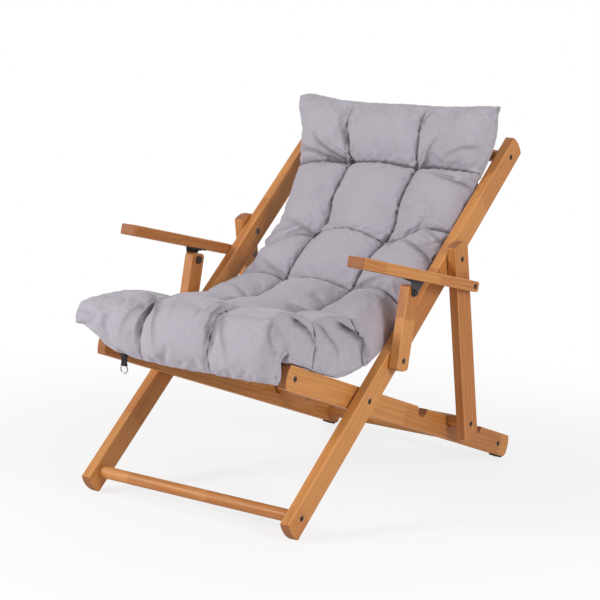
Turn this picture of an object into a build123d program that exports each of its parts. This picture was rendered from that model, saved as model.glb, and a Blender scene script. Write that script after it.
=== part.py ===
from build123d import *
import os
from math import acos, asin, atan, atan2, cos, degrees, hypot, pi, radians, sin, sqrt

# A folding lounge chair in oiled timber with a one-piece tufted cushion.
# Millimetres. +X is the sitter's left, +Y the rear, +Z up. Everything is first laid out
# round the main pivot, where the seat rails cross the long rails, and is then moved so
# that the middle of the chair's footprint, on the floor, is the origin.

# ---- timber ----
BOARD_W = 50.0            # width of the long rails, seat rails and props
BOARD_T = 22.0            # thickness of every board but the armrests
BAR_D = 26.0              # round crossbars
EDGE_R = 2.0              # eased arrises
CORNER_R = 3.0            # eased corners at the boards' ends

# ---- across the chair ----
CUSHION_W = 490.0
CUSHION_GAP = 5.0         # between the cushion and each long rail
INNER_W = CUSHION_W + 2 * CUSHION_GAP
MAIN_GAP = 5.0            # spacer between a seat rail and a long rail
SIDE_GAP = 2.0            # washer between a long rail and what is pivoted outside it

# ---- long rails, measured along them from the main pivot ----
LONG_DOWN = 333.0         # to the corner on the floor
LONG_UP = 728.0           # to the top end
LONG_BULGE = 5.5          # rise of the curved ends
FOOT_BAR_INSET = 35.0     # each bar's middle, from the rails' nearer end
TOP_BAR_INSET = 36.0
FOOT_BAR_AT = LONG_DOWN - FOOT_BAR_INSET
TOP_BAR_AT = LONG_UP - TOP_BAR_INSET
BACK_CUSHION_INSET = 12.0
BACK_CUSHION_L = LONG_UP - BACK_CUSHION_INSET
POST_AT = 112.0           # the post's pivot
PROP_AT = 394.0           # the prop's pivot
FOOT_FLAT = 0.6           # depth of the flat that the foot corner stands on

# ---- seat rails, measured along them from the main pivot ----
SEAT_CUSHION_L = 300.0    # the cushion ahead of the main pivot
SEAT_UNDER = 44.0         # by which it hangs over the rails' front ends
SEAT_FORE = SEAT_CUSHION_L - SEAT_UNDER
SEAT_AFT = 640.0          # to the rear end
SEAT_BULGE = 6.0
SEAT_TAIL_R = 12.0        # lower corner of the rear end
FRONT_BAR_INSET = 22.0
REAR_BAR_INSET = 41.0
FRONT_BAR_AT = SEAT_FORE - FRONT_BAR_INSET
REAR_BAR_AT = SEAT_AFT - REAR_BAR_INSET
NOTCH_R = 18.5            # half-round notches for the prop bar
NOTCH_DEPTH = 21.0
NOTCH_LIP_R = 2.0
NOTCH_INSET = 268.0       # the middle notch, in use, ahead of the rear end
NOTCH_AT = SEAT_AFT - NOTCH_INSET
NOTCH_PITCH = 120.0
NOTCH_PUSH_ANGLE = 60.0   # the prop's push against the notch, below the rail's line
BAR_SEAT_GAP = 0.3        # between the prop bar and the notch

# ---- glides under the seat rails' rear ends ----
GLIDE_T = 3.5
GLIDE_L = 28.0
GLIDE_W = 18.0
GLIDE_INSET = 8.0         # its rear edge, which stands on the floor, from the rail's end
GLIDE_END_AT = SEAT_AFT - GLIDE_INSET
GLIDE_R = 1.2
GLIDE_FLAT = 0.8          # depth of its flat on the floor

# ---- props ----
PROP_L = 375.0            # pivot to crossbar
PROP_OVER = 30.0          # beyond each of them
PROP_BULGE = 6.5
ARM_ON_PROP_AT = 61.5     # the armrest's pivot, below the prop's
ARM_ON_PROP_SIDE = 12.5   # and behind the prop's centre line

# ---- armrests ----
ARM_T = 23.0
ARM_W = 43.0
ARM_FORE = 430.0          # ahead of its pivot
ARM_AFT = 16.0            # behind it
ARM_NOSE_R = 6.0
ARM_EDGE_R = 3.0
TONGUE_T = 19.0           # the rear part, which passes outside the prop
TONGUE_L = 100.0
BRACKET_BOLT_AT = 203.7   # ahead of the armrest's pivot
BRACKET_BOLT_DROP = 36.6  # below the armrest's middle plane

# ---- posts ----
POST_W = 42.0
POST_L = 142.2            # pivot to bracket bolt
POST_UNDER = 18.0
POST_OVER = 14.0          # beyond the bracket bolt, short of the armrest
POST_BULGE = 4.0
POST_CORNER_R = 8.0

# ---- armrest brackets, bent steel ----
BRACKET_T = 2.5
BRACKET_L = 45.0
BRACKET_SHIFT = 4.7       # its middle lies behind the bolt
BRACKET_EYE_R = 9.0
BRACKET_FLANGE_W = 21.0
BRACKET_SCREW_GAP = 26.0
SCREW_R = 2.0
SCREW_L = 16.0
SCREW_HEAD_R = 3.6
SCREW_HEAD_T = 1.8

# ---- bolts ----
RUN_GAP = 0.05            # round every shank
HEAD_GAP = 0.3            # round a recessed head or nut
HEAD_R = 6.0
HEAD_T = 5.0
HEAD_SUNK = 0.8           # below the board's face
HEX_AF = 5.0
HEX_DEPTH = 3.0
PIVOT_R = 4.0
BAR_BOLT_R = 3.0
BAR_BOLT_GRIP = 34.0      # length inside a crossbar
NUT_R = 7.0
NUT_T = 5.0
WASHER_R = 11.0
END_GAP = 0.15            # each side of a washer
OPEN_PLAY = 2.0           # extra room round the bracket bolt in the post

# ---- cushion, sling and strap ----
SOFT_GAP = 0.5
CUSHION_T = 100.0         # between the crowns of its two faces
TUFT_X = 88.0             # two columns of tufts
TUFT_SHIFT = 12.0
SLING_T = 1.6
SLING_INSET = 43.0        # between the sling and each seat rail
STRAP_W = 14.0
STRAP_T = 1.4
STRAP_INSET = 27.0        # between its middle and the seat rail
STRAP_L = 22.0
RING_R = 9.0
RING_WIRE_R = 1.5
OVERRUN = 5.0             # past a face, for cuts

# How far along its half of the chair each station of the cushion lies, how far from the
# rail's line, and how its section leans in degrees: from the fold to the top end, and
# from the fold to the front and down over it. Crowns and tuft rows come by turns.
BACK_PATH_shares = [
    (0.251, 0.325, -30.0), (0.345, -0.04, -12.0), (0.454, 0.04, -5.0),
    (0.564, -0.19, 2.0), (0.698, 0.12, 9.0), (0.830, 0.21, 17.0), (0.912, 0.62, 30.0),
]
BACK_END_share = (1.0, 1.03, 33.0)
SEAT_PATH_shares = [
    (0.252, 1.047, 21.6), (0.486, 0.785, 13.6), (0.780, 0.726, 9.6),
    (1.056, 0.759, 59.6), (1.035, 0.283, 109.6),
]
SEAT_END_share = (0.958, -0.219, 114.6)
FOLD_share = (0.606, 1.197, -3.8)
# Where the cushion's two side seams lie across the chair at each station, from the fold to
# each end. It lies towards the sitter's left, is drawn in along the other side, and its
# corners stand wider.
BACK_SIDES_shares = [
    (-0.424, 0.498), (-0.424, 0.502), (-0.420, 0.496), (-0.424, 0.502), (-0.420, 0.496),
    (-0.420, 0.504), (-0.451, 0.502), (-0.473, 0.518), (-0.535, 0.539),
]
SEAT_SIDES_shares = [
    (-0.424, 0.498), (-0.433, 0.502), (-0.465, 0.498), (-0.510, 0.502), (-0.527, 0.504),
    (-0.535, 0.504), (-0.535, 0.502),
]
# Section heights as shares of the cushion's thickness: crest and tuft column above the
# middle surface, crest and tuft column below it, and half of the edge.
CROWN_shares = (0.50, 0.40, 0.46, 0.38, 0.15)
SHOULDER_shares = (0.45, 0.33, 0.42, 0.32, 0.12)
TUFT_shares = (0.32, 0.17, 0.30, 0.20, 0.09)
TOP_CROWN_shares = (0.46, 0.38, 0.38, 0.32, 0.12)
FLAP_shares = (0.34, 0.28, 0.30, 0.26, 0.12)
SEAM_shares = (0.09, 0.07, 0.09, 0.07, 0.05)
SHOULDER_share = 0.42     # how far a shoulder station lies from its tuft row to the crown
TAPER_share = 0.62        # how far the last station before an end seam lies towards it
TAPER_HEIGHT_share = 0.68
# The sling under the cushion, by the same measures as the cushion's stations.
BACK_SLING_shares = [
    (0.14, 0.12), (0.2235, -0.27), (0.307, -0.43), (0.419, -0.53), (0.531, -0.57),
    (0.642, -0.49), (0.754, -0.31), (0.866, -0.12),
]
SEAT_SLING_shares = [(0.699, 0.142), (0.464, 0.325), (0.248, 0.50)]
FOLD_SLING_share = (0.569, 0.632)
TOP_WRAP_ANGLE = 20.0     # where the sling leaves the top bar, forward of the rail's normal

# ---- derived: layers across the chair ----
LONG_IN = INNER_W / 2
LONG_OUT = LONG_IN + BOARD_T
SEAT_OUT = LONG_IN - MAIN_GAP
SEAT_IN = SEAT_OUT - BOARD_T
SIDE_IN = LONG_OUT + SIDE_GAP
SIDE_OUT = SIDE_IN + BOARD_T
ARM_OUT = SIDE_IN + ARM_W
TONGUE_IN = ARM_OUT - TONGUE_T
SLING_W = 2 * (SEAT_IN - SLING_INSET)
HALF_W = BOARD_W / 2
BAR_R = BAR_D / 2

# ---- derived: the locked triangle of pivot, prop and notch ----
notch_centre = HALF_W - NOTCH_DEPTH + NOTCH_R
notch_play = NOTCH_R - BAR_R - BAR_SEAT_GAP
bar_t = NOTCH_AT + notch_play * cos(radians(NOTCH_PUSH_ANGLE))
bar_n = notch_centre - notch_play * sin(radians(NOTCH_PUSH_ANGLE))
bar_reach = hypot(bar_t, bar_n)
at_pivot = acos((PROP_AT ** 2 + bar_reach ** 2 - PROP_L ** 2) / (2 * PROP_AT * bar_reach))
opening = at_pivot + atan2(bar_n, bar_t)

# ---- derived: how the opened frame stands on its foot corners and its glides ----
foot_reach = hypot(LONG_DOWN, HALF_W)
foot_turn = atan2(HALF_W, LONG_DOWN)
glide_reach = hypot(GLIDE_END_AT, HALF_W + GLIDE_T)
glide_turn = atan2(HALF_W + GLIDE_T, GLIDE_END_AT)
spread = opening + glide_turn
recline = atan2(
    glide_reach * sin(spread) - foot_reach * sin(foot_turn) + FOOT_FLAT - GLIDE_FLAT,
    foot_reach * cos(foot_turn) + glide_reach * cos(spread),
)
for _ in range(6):
    left = foot_reach * sin(recline + foot_turn) - FOOT_FLAT
    right = glide_reach * sin(spread - recline) - GLIDE_FLAT
    slope = foot_reach * cos(recline + foot_turn) + glide_reach * cos(spread - recline)
    recline -= (left - right) / slope
seat_fall = opening - recline
pivot_z = foot_reach * sin(recline + foot_turn) - FOOT_FLAT


def side_frame(at, angle):
    """A frame in the side plane: its first axis leans by angle from +Y towards +Z."""
    return Plane(
        origin=(0, at[0], at[1]), x_dir=(0, cos(angle), sin(angle)), z_dir=(1, 0, 0)
    )


def place(at, angle, along, off):
    """The (y, z) of a point given along and off a line through a point."""
    return (
        at[0] + along * cos(angle) - off * sin(angle),
        at[1] + along * sin(angle) + off * cos(angle),
    )


def direction(start, end):
    return atan2(end[1] - start[1], end[0] - start[0])


# ---- derived: pivots in the side plane ----
MAIN = (0.0, pivot_z)
PROP_PIVOT = place(MAIN, recline, PROP_AT, 0)
POST_PIVOT = place(MAIN, recline, POST_AT, 0)
PROP_BAR = place(MAIN, -seat_fall, bar_t, bar_n)
prop_lean = direction(PROP_PIVOT, PROP_BAR)
ARM_PIVOT = place(PROP_PIVOT, prop_lean, ARM_ON_PROP_AT, ARM_ON_PROP_SIDE)
arm_reach = hypot(BRACKET_BOLT_AT, BRACKET_BOLT_DROP)
arm_turn = atan2(BRACKET_BOLT_DROP, BRACKET_BOLT_AT)
post_to_arm = hypot(ARM_PIVOT[0] - POST_PIVOT[0], ARM_PIVOT[1] - POST_PIVOT[1])
at_post = acos((POST_L ** 2 + post_to_arm ** 2 - arm_reach ** 2) / (2 * POST_L * post_to_arm))
post_lean = direction(POST_PIVOT, ARM_PIVOT) + at_post
BRACKET_BOLT = place(POST_PIVOT, post_lean, POST_L, 0)
arm_lean = direction(ARM_PIVOT, BRACKET_BOLT) - arm_turn
FRONT_BAR = place(MAIN, -seat_fall, -FRONT_BAR_AT, 0)

BACK = side_frame(MAIN, recline)
SEAT = side_frame(MAIN, -seat_fall)
PROP = side_frame(PROP_PIVOT, prop_lean)
ARM = side_frame(ARM_PIVOT, arm_lean)
POST = side_frame(POST_PIVOT, post_lean)


def strap_outline(low, high, width, low_bulge, high_bulge):
    """A board's outline: straight edges and shallow curved ends."""
    half = width / 2
    low_end = Line((low, half), (low, -half))
    if low_bulge:
        low_end = ThreePointArc((low, half), (low - low_bulge, 0), (low, -half))
    high_end = Line((high, -half), (high, half))
    if high_bulge:
        high_end = ThreePointArc((high, -half), (high + high_bulge, 0), (high, half))
    sides = [Line((low, -half), (high, -half)), Line((high, half), (low, half))]
    return make_face(Curve() + [sides[0], high_end, sides[1], low_end])


def corners(face, low_x, high_x):
    """The outline's corners whose place along the board lies between two values."""
    return [v for v in face.vertices() if low_x < v.X < high_x]


def eased(board, radius):
    """Rounds the arrises all round a board's two broad faces."""
    rims = board.edges().group_by(Axis.Z)
    return fillet(rims[0] + rims[-1], radius)


def rod(x_low, x_high, radius, along=0.0, off=0.0):
    """A round bar across the chair, in a side frame."""
    return Pos(along, off, x_low) * Cylinder(
        radius, x_high - x_low, align=(Align.CENTER, Align.CENTER, Align.MIN)
    )


def crossbar(half_length, along, off=0.0):
    """A dowel whose ends are bored for its bolts."""
    bar = rod(-half_length, half_length, BAR_R, along, off)
    depth = BAR_BOLT_GRIP + OVERRUN
    for end in (-half_length, half_length - depth):
        bar -= rod(end, end + depth, BAR_BOLT_R + RUN_GAP, along, off)
    return bar


def head_recess(x_face, along, off, inward):
    """The counterbore for a bolt head, from a board's face inwards."""
    depth = HEAD_T + HEAD_SUNK
    low = x_face - depth if inward < 0 else x_face
    high = x_face if inward < 0 else x_face + depth
    grow = OVERRUN
    if inward < 0:
        high += grow
    else:
        low -= grow
    return rod(low, high, HEAD_R + HEAD_GAP, along, off)


def cap_bolt(x_face, shank_end, shank_r, along, off=0.0, sunk=HEAD_SUNK):
    """A cap bolt driven inwards from a board's outer face, with its hexagon socket."""
    top = x_face - sunk
    bolt = rod(top - HEAD_T, top, HEAD_R, along, off)
    bolt += rod(shank_end, top - HEAD_T, shank_r, along, off)
    socket = extrude(RegularPolygon(HEX_AF / 2, 6, major_radius=False), HEX_DEPTH + OVERRUN)
    return bolt - Pos(along, off, top - HEX_DEPTH) * socket


def ring(x_low, x_high, inner, outer, along=0.0, off=0.0):
    return rod(x_low, x_high, outer, along, off) - rod(
        x_low - OVERRUN, x_high + OVERRUN, inner, along, off
    )


def nut(x_low, along, off=0.0):
    """A low round nut, flush in its board."""
    return ring(x_low, x_low + NUT_T, PIVOT_R + RUN_GAP, NUT_R, along, off)


def washer(x_low, gap, along, off=0.0):
    return ring(
        x_low + END_GAP, x_low + gap - END_GAP, PIVOT_R + RUN_GAP, WASHER_R, along, off
    )


def in_frame(frame, shape):
    return frame.location * shape


def both_sides(shape):
    return [shape, mirror(shape, Plane.YZ)]


def above_floor(shape):
    """Cuts the flat that a piece stands on."""
    box = shape.bounding_box()
    size = box.size
    cut = Pos(box.center().X, box.center().Y, -size.Z / 2) * Box(
        size.X + OVERRUN, size.Y + OVERRUN, size.Z
    )
    return shape - cut


nodes = {}


def keep(name, *shapes):
    solids = []
    for shape in shapes:
        solids += shape.solids()
    nodes[name] = solids


def keep_pair(name, shape):
    left, right = both_sides(shape)
    keep(name + "_left", left)
    keep(name + "_right", right)


# ---- long rails ----
outline = strap_outline(-LONG_DOWN, LONG_UP, BOARD_W, LONG_BULGE, LONG_BULGE)
outline = fillet(corners(outline, 0, LONG_UP + CORNER_R), CORNER_R)
rail = eased(extrude(outline, BOARD_T), EDGE_R)
rail = Pos(0, 0, LONG_IN) * rail
for at in (-FOOT_BAR_AT, TOP_BAR_AT):
    rail -= rod(LONG_IN - OVERRUN, LONG_OUT, BAR_BOLT_R + RUN_GAP, at)
    rail -= head_recess(LONG_OUT, at, 0, -1)
rail -= rod(LONG_IN - OVERRUN, LONG_OUT, PIVOT_R + RUN_GAP)
rail -= head_recess(LONG_OUT, 0, 0, -1)
for at in (POST_AT, PROP_AT):
    rail -= rod(LONG_IN, LONG_OUT + OVERRUN, PIVOT_R + RUN_GAP, at)
    rail -= rod(LONG_IN - OVERRUN, LONG_IN + NUT_T + HEAD_GAP, NUT_R + HEAD_GAP, at)
keep_pair("long_rail", above_floor(in_frame(BACK, rail)))

keep("foot_bar", in_frame(BACK, crossbar(LONG_IN, -FOOT_BAR_AT)))
keep("top_bar", in_frame(BACK, crossbar(LONG_IN, TOP_BAR_AT)))
for name, at in (("foot_bar_bolts", -FOOT_BAR_AT), ("top_bar_bolts", TOP_BAR_AT)):
    bolt = cap_bolt(LONG_OUT, LONG_IN - BAR_BOLT_GRIP, BAR_BOLT_R, at)
    keep(name, *both_sides(in_frame(BACK, bolt)))

# ---- seat rails ----
outline = strap_outline(-SEAT_FORE, SEAT_AFT, BOARD_W, SEAT_BULGE, SEAT_BULGE)
notches = [NOTCH_AT + step * NOTCH_PITCH for step in (-1, 0, 1)]
for at in notches:
    outline -= Pos(at, notch_centre) * Circle(NOTCH_R)
    outline -= Pos(at, notch_centre + NOTCH_DEPTH / 2) * Rectangle(2 * NOTCH_R, NOTCH_DEPTH)
lips = [
    v for v in outline.vertices()
    if v.Y > HALF_W - RUN_GAP and NOTCH_R < v.X < SEAT_AFT - NOTCH_R
]
outline = fillet(lips, NOTCH_LIP_R)
outline = fillet(corners(outline, -SEAT_FORE - CORNER_R, -SEAT_FORE + CORNER_R), CORNER_R)
tail = [v for v in outline.vertices() if v.X > SEAT_AFT - CORNER_R and v.Y < 0]
outline = fillet(tail, SEAT_TAIL_R)
tail = [v for v in outline.vertices() if v.X > SEAT_AFT - CORNER_R and v.Y > HALF_W - RUN_GAP]
outline = fillet(tail, CORNER_R)
rail = eased(extrude(outline, BOARD_T), EDGE_R)
rail = Pos(0, 0, SEAT_IN) * rail
for at in (-FRONT_BAR_AT, REAR_BAR_AT):
    rail -= rod(SEAT_IN - OVERRUN, SEAT_OUT, BAR_BOLT_R + RUN_GAP, at)
    rail -= head_recess(SEAT_OUT, at, 0, -1)
rail -= rod(SEAT_IN, SEAT_OUT + OVERRUN, PIVOT_R + RUN_GAP)
rail -= rod(SEAT_IN - OVERRUN, SEAT_IN + NUT_T + HEAD_GAP, NUT_R + HEAD_GAP)
keep_pair("seat_rail", in_frame(SEAT, rail))

keep("seat_front_bar", in_frame(SEAT, crossbar(SEAT_IN, -FRONT_BAR_AT)))
keep("seat_rear_bar", in_frame(SEAT, crossbar(SEAT_IN, REAR_BAR_AT)))
for name, at in (("seat_front_bolts", -FRONT_BAR_AT), ("seat_rear_bolts", REAR_BAR_AT)):
    bolt = cap_bolt(SEAT_OUT, SEAT_IN - BAR_BOLT_GRIP, BAR_BOLT_R, at)
    keep(name, *both_sides(in_frame(SEAT, bolt)))

glide = Pos(GLIDE_END_AT - GLIDE_L / 2, -HALF_W - GLIDE_T / 2, (SEAT_IN + SEAT_OUT) / 2) * Box(
    GLIDE_L, GLIDE_T, GLIDE_W
)
glide = fillet(glide.edges().group_by(Axis.Y)[0].filter_by(Axis.X), GLIDE_R)
keep("rear_glides", *both_sides(above_floor(in_frame(SEAT, glide))))

# ---- main pivots: the bolts run in the seat rails ----
bolt = cap_bolt(LONG_OUT, SEAT_IN, PIVOT_R, 0)
keep("main_pivot_bolts", *both_sides(in_frame(BACK, bolt)))
keep("main_pivot_nuts", *both_sides(in_frame(BACK, nut(SEAT_IN, 0))))
keep("main_pivot_spacers", *both_sides(in_frame(BACK, washer(SEAT_OUT, MAIN_GAP, 0))))

# ---- props ----
outline = strap_outline(-PROP_OVER, PROP_L + PROP_OVER, BOARD_W, PROP_BULGE, PROP_BULGE)
outline = fillet(corners(outline, -PROP_OVER - CORNER_R, PROP_L + PROP_OVER + CORNER_R), CORNER_R)
prop = eased(extrude(outline, BOARD_T), EDGE_R)
prop = Pos(0, 0, SIDE_IN) * prop
prop -= rod(SIDE_IN - OVERRUN, SIDE_OUT, PIVOT_R + RUN_GAP)
prop -= head_recess(SIDE_OUT, 0, 0, -1)
prop -= rod(SIDE_IN - OVERRUN, SIDE_OUT, BAR_BOLT_R + RUN_GAP, PROP_L)
prop -= head_recess(SIDE_OUT, PROP_L, 0, -1)
prop -= rod(SIDE_IN, SIDE_OUT + OVERRUN, PIVOT_R + RUN_GAP, ARM_ON_PROP_AT, ARM_ON_PROP_SIDE)
prop -= rod(
    SIDE_IN - OVERRUN, SIDE_IN + NUT_T + HEAD_GAP, NUT_R + HEAD_GAP,
    ARM_ON_PROP_AT, ARM_ON_PROP_SIDE,
)
keep_pair("prop", in_frame(PROP, prop))

keep("prop_bar", in_frame(PROP, crossbar(SIDE_IN, PROP_L)))
bolt = cap_bolt(SIDE_OUT, SIDE_IN - BAR_BOLT_GRIP, BAR_BOLT_R, PROP_L)
keep("prop_bar_bolts", *both_sides(in_frame(PROP, bolt)))
bolt = cap_bolt(SIDE_OUT, LONG_IN, PIVOT_R, 0)
keep("prop_pivot_bolts", *both_sides(in_frame(PROP, bolt)))
keep("prop_pivot_nuts", *both_sides(in_frame(PROP, nut(LONG_IN, 0))))
keep("prop_pivot_washers", *both_sides(in_frame(PROP, washer(LONG_OUT, SIDE_GAP, 0))))

# ---- posts ----
outline = strap_outline(-POST_UNDER, POST_L + POST_OVER, POST_W, POST_BULGE, 0)
outline = fillet(corners(outline, -POST_UNDER - CORNER_R, POST_L + POST_W), POST_CORNER_R)
post = eased(extrude(outline, BOARD_T), EDGE_R)
post = Pos(0, 0, SIDE_IN) * post
post -= rod(SIDE_IN - OVERRUN, SIDE_OUT, PIVOT_R + RUN_GAP)
post -= head_recess(SIDE_OUT, 0, 0, -1)
post -= rod(SIDE_IN - OVERRUN, SIDE_OUT + OVERRUN, PIVOT_R + OPEN_PLAY, POST_L)
keep_pair("post", in_frame(POST, post))
bolt = cap_bolt(SIDE_OUT, LONG_IN, PIVOT_R, 0)
keep_pair("post_pivot_bolt", in_frame(POST, bolt))
keep_pair("post_pivot_nut", in_frame(POST, nut(LONG_IN, 0)))
keep_pair("post_pivot_washer", in_frame(POST, washer(LONG_OUT, SIDE_GAP, 0)))

# ---- armrests: in their frame, +X is forward and +Y is down ----
plan = Pos((ARM_FORE - ARM_AFT) / 2, 0, (SIDE_IN + ARM_OUT) / 2) * Box(
    ARM_FORE + ARM_AFT, ARM_T, ARM_W
)
arm = plan - Pos((TONGUE_L - ARM_AFT - OVERRUN) / 2, 0, (SIDE_IN - OVERRUN + TONGUE_IN) / 2) * Box(
    TONGUE_L + ARM_AFT + OVERRUN, ARM_T + OVERRUN, TONGUE_IN - SIDE_IN + OVERRUN
)
arm = fillet(arm.edges().filter_by(Axis.Y).group_by(Axis.X)[-1], ARM_NOSE_R)
arm = fillet(arm.edges().filter_by(Axis.Z).group_by(Axis.X)[0], ARM_NOSE_R)
arm = fillet(
    arm.edges().filter_by(Axis.X).group_by(Axis.Z)[-1], ARM_EDGE_R
)
arm -= rod(TONGUE_IN - OVERRUN, ARM_OUT, PIVOT_R + RUN_GAP)
arm -= head_recess(ARM_OUT, 0, 0, -1)
half_t = ARM_T / 2
tab_in = SIDE_OUT + RUN_GAP + END_GAP * 2
tab_out = tab_in + BRACKET_T
flange_in = tab_out - BRACKET_FLANGE_W
screw_x = (flange_in + tab_in) / 2
screw_ats = [
    BRACKET_BOLT_AT - BRACKET_SHIFT + side * BRACKET_SCREW_GAP / 2 for side in (-1, 1)
]
screw_turn = Rotation(90, 0, 0)
for at in screw_ats:
    arm -= Pos(at, half_t, screw_x) * screw_turn * Cylinder(
        SCREW_R + RUN_GAP, SCREW_L + RUN_GAP, align=(Align.CENTER, Align.CENTER, Align.MIN)
    )
keep_pair("armrest", in_frame(ARM, arm))

# ---- brackets: a tab outside the post and a flange under the armrest ----
middle = BRACKET_BOLT_AT - BRACKET_SHIFT
reach = BRACKET_BOLT_DROP - half_t
top_strip = Pos(middle, half_t + BRACKET_T / 2) * Rectangle(BRACKET_L, BRACKET_T)
eye = Pos(BRACKET_BOLT_AT, BRACKET_BOLT_DROP) * Circle(BRACKET_EYE_R)
tab_face = make_hull(top_strip.edges() + eye.edges())
tab = Pos(0, 0, tab_in) * extrude(tab_face, BRACKET_T)
tab -= rod(
    tab_in - OVERRUN, tab_out + OVERRUN, PIVOT_R + RUN_GAP, BRACKET_BOLT_AT, BRACKET_BOLT_DROP
)
flange = Pos(middle, half_t + BRACKET_T / 2, (flange_in + tab_out) / 2) * Box(
    BRACKET_L, BRACKET_T, BRACKET_FLANGE_W
)
bracket = tab + flange
screws = []
for at in screw_ats:
    bracket -= Pos(at, half_t + BRACKET_T + OVERRUN, screw_x) * screw_turn * Cylinder(
        SCREW_R + RUN_GAP, BRACKET_T + 2 * OVERRUN, align=(Align.CENTER, Align.CENTER, Align.MIN)
    )
    shank = Pos(at, half_t + BRACKET_T, screw_x) * screw_turn * Cylinder(
        SCREW_R, SCREW_L + BRACKET_T, align=(Align.CENTER, Align.CENTER, Align.MIN)
    )
    head = Pos(at, half_t + BRACKET_T, screw_x) * screw_turn * Cylinder(
        SCREW_HEAD_R, SCREW_HEAD_T, align=(Align.CENTER, Align.CENTER, Align.MAX)
    )
    screws.append(shank + head)
keep_pair("arm_bracket", in_frame(ARM, bracket))
for side, flip in (("left", False), ("right", True)):
    placed = [in_frame(ARM, screw) for screw in screws]
    if flip:
        placed = [mirror(screw, Plane.YZ) for screw in placed]
    keep("bracket_screws_" + side, *placed)

bolt = cap_bolt(ARM_OUT, SIDE_IN, PIVOT_R, 0)
keep_pair("arm_pivot_bolt", in_frame(ARM, bolt))
keep_pair("arm_pivot_nut", in_frame(ARM, nut(SIDE_IN, 0)))
keep_pair("arm_pivot_washer", in_frame(ARM, washer(SIDE_OUT, SIDE_GAP, 0)))
bolt = cap_bolt(
    tab_out + HEAD_T, SIDE_IN - END_GAP - NUT_T, PIVOT_R, BRACKET_BOLT_AT, BRACKET_BOLT_DROP, 0
)
keep_pair("bracket_bolt", in_frame(ARM, bolt))
low_nut = ring(
    SIDE_IN - END_GAP - NUT_T, SIDE_IN - END_GAP, PIVOT_R + RUN_GAP, WASHER_R - BRACKET_T,
    BRACKET_BOLT_AT, BRACKET_BOLT_DROP,
)
keep_pair("bracket_nut", in_frame(ARM, low_nut))


# ---- cushion ----
def station(frame_at, frame_angle, length, shares):
    """A station's (y, z) and the angle of the cushion's run there."""
    along, off, lean = shares
    point = place(frame_at, frame_angle, along * length, off * CUSHION_T)
    return point, frame_angle + radians(lean)


def between(low, high, share):
    (ya, za), angle_a = low
    (yb, zb), angle_b = high
    point = (ya + (yb - ya) * share, za + (zb - za) * share)
    return point, angle_a + (angle_b - angle_a) * share


def cushion_section(at, heights, sides):
    """One cross-section: three bulges above and below, drawn in at the tuft columns."""
    (y, z), angle = at
    crest, column, keel, hollow, edge = [share * CUSHION_T for share in heights]
    left, right = [share * CUSHION_W for share in sides]
    xs = [left, TUFT_SHIFT - TUFT_X, TUFT_SHIFT + TUFT_X, right]
    plane = Plane(origin=(0, y, z), x_dir=(1, 0, 0), z_dir=(0, -cos(angle), -sin(angle)))
    tops = [edge, column, column, edge]
    lows = [-edge, -hollow, -hollow, -edge]
    lines = []
    for i in range(3):
        mid = (xs[i] + xs[i + 1]) / 2
        lines.append(ThreePointArc((xs[i], tops[i]), (mid, crest), (xs[i + 1], tops[i + 1])))
    lines.append(Line((right, edge), (right, -edge)))
    for i in (2, 1, 0):
        mid = (xs[i] + xs[i + 1]) / 2
        lines.append(ThreePointArc((xs[i + 1], lows[i + 1]), (mid, -keel), (xs[i], lows[i])))
    lines.append(Line((left, -edge), (left, edge)))
    return plane.location * make_face(Curve() + lines)


def halfway(first, second):
    return [(a + b) / 2 for a, b in zip(first, second)]


def cushion_half(stations, heights, sides, end):
    """Lofts from the fold to an end seam, with a shoulder between each row and crown."""
    sections = []
    for i, at in enumerate(stations):
        sections.append(cushion_section(at, heights[i], sides[i]))
        if i < len(stations) - 1:
            share = 1 - SHOULDER_share if i % 2 == 1 else SHOULDER_share
            middle = between(at, stations[i + 1], share)
            sections.append(
                cushion_section(middle, SHOULDER_shares, halfway(sides[i], sides[i + 1]))
            )
    last = heights[len(stations) - 1]
    taper = [
        a * TAPER_HEIGHT_share + b * (1 - TAPER_HEIGHT_share) for a, b in zip(last, SEAM_shares)
    ]
    near_end = between(stations[-1], end, TAPER_share)
    sections.append(cushion_section(near_end, taper, halfway(sides[-2], sides[-1])))
    sections.append(cushion_section(end, SEAM_shares, sides[-1]))
    return loft(sections)


fold_angle = (recline - seat_fall) / 2
fold_along, fold_off, fold_lean = FOLD_share
FOLD = place(MAIN, fold_angle, fold_along * CUSHION_T, fold_off * CUSHION_T)
fold_run = fold_angle + radians(fold_lean)


def fold_at(gap):
    return (place(FOLD, fold_run, gap, 0), fold_run)


back_stations = [fold_at(SOFT_GAP / 2)]
back_stations += [station(MAIN, recline, BACK_CUSHION_L, s) for s in BACK_PATH_shares]
back_end = station(MAIN, recline, BACK_CUSHION_L, BACK_END_share)
heights = [TUFT_shares, CROWN_shares] * 3 + [TUFT_shares, TOP_CROWN_shares]
keep("back_cushion", cushion_half(back_stations, heights, BACK_SIDES_shares, back_end))

# The seat half runs forward, so its stations are measured the other way along the seat.
seat_line = -seat_fall
seat_stations = [fold_at(-SOFT_GAP / 2)]
for along, off, lean in SEAT_PATH_shares:
    seat_stations.append(station(MAIN, seat_line, SEAT_CUSHION_L, (-along, off, lean)))
along, off, lean = SEAT_END_share
seat_end = station(MAIN, seat_line, SEAT_CUSHION_L, (-along, off, lean))
heights = [TUFT_shares, CROWN_shares] * 2 + [TUFT_shares, FLAP_shares]
keep("seat_cushion", cushion_half(seat_stations, heights, SEAT_SIDES_shares, seat_end))


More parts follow.
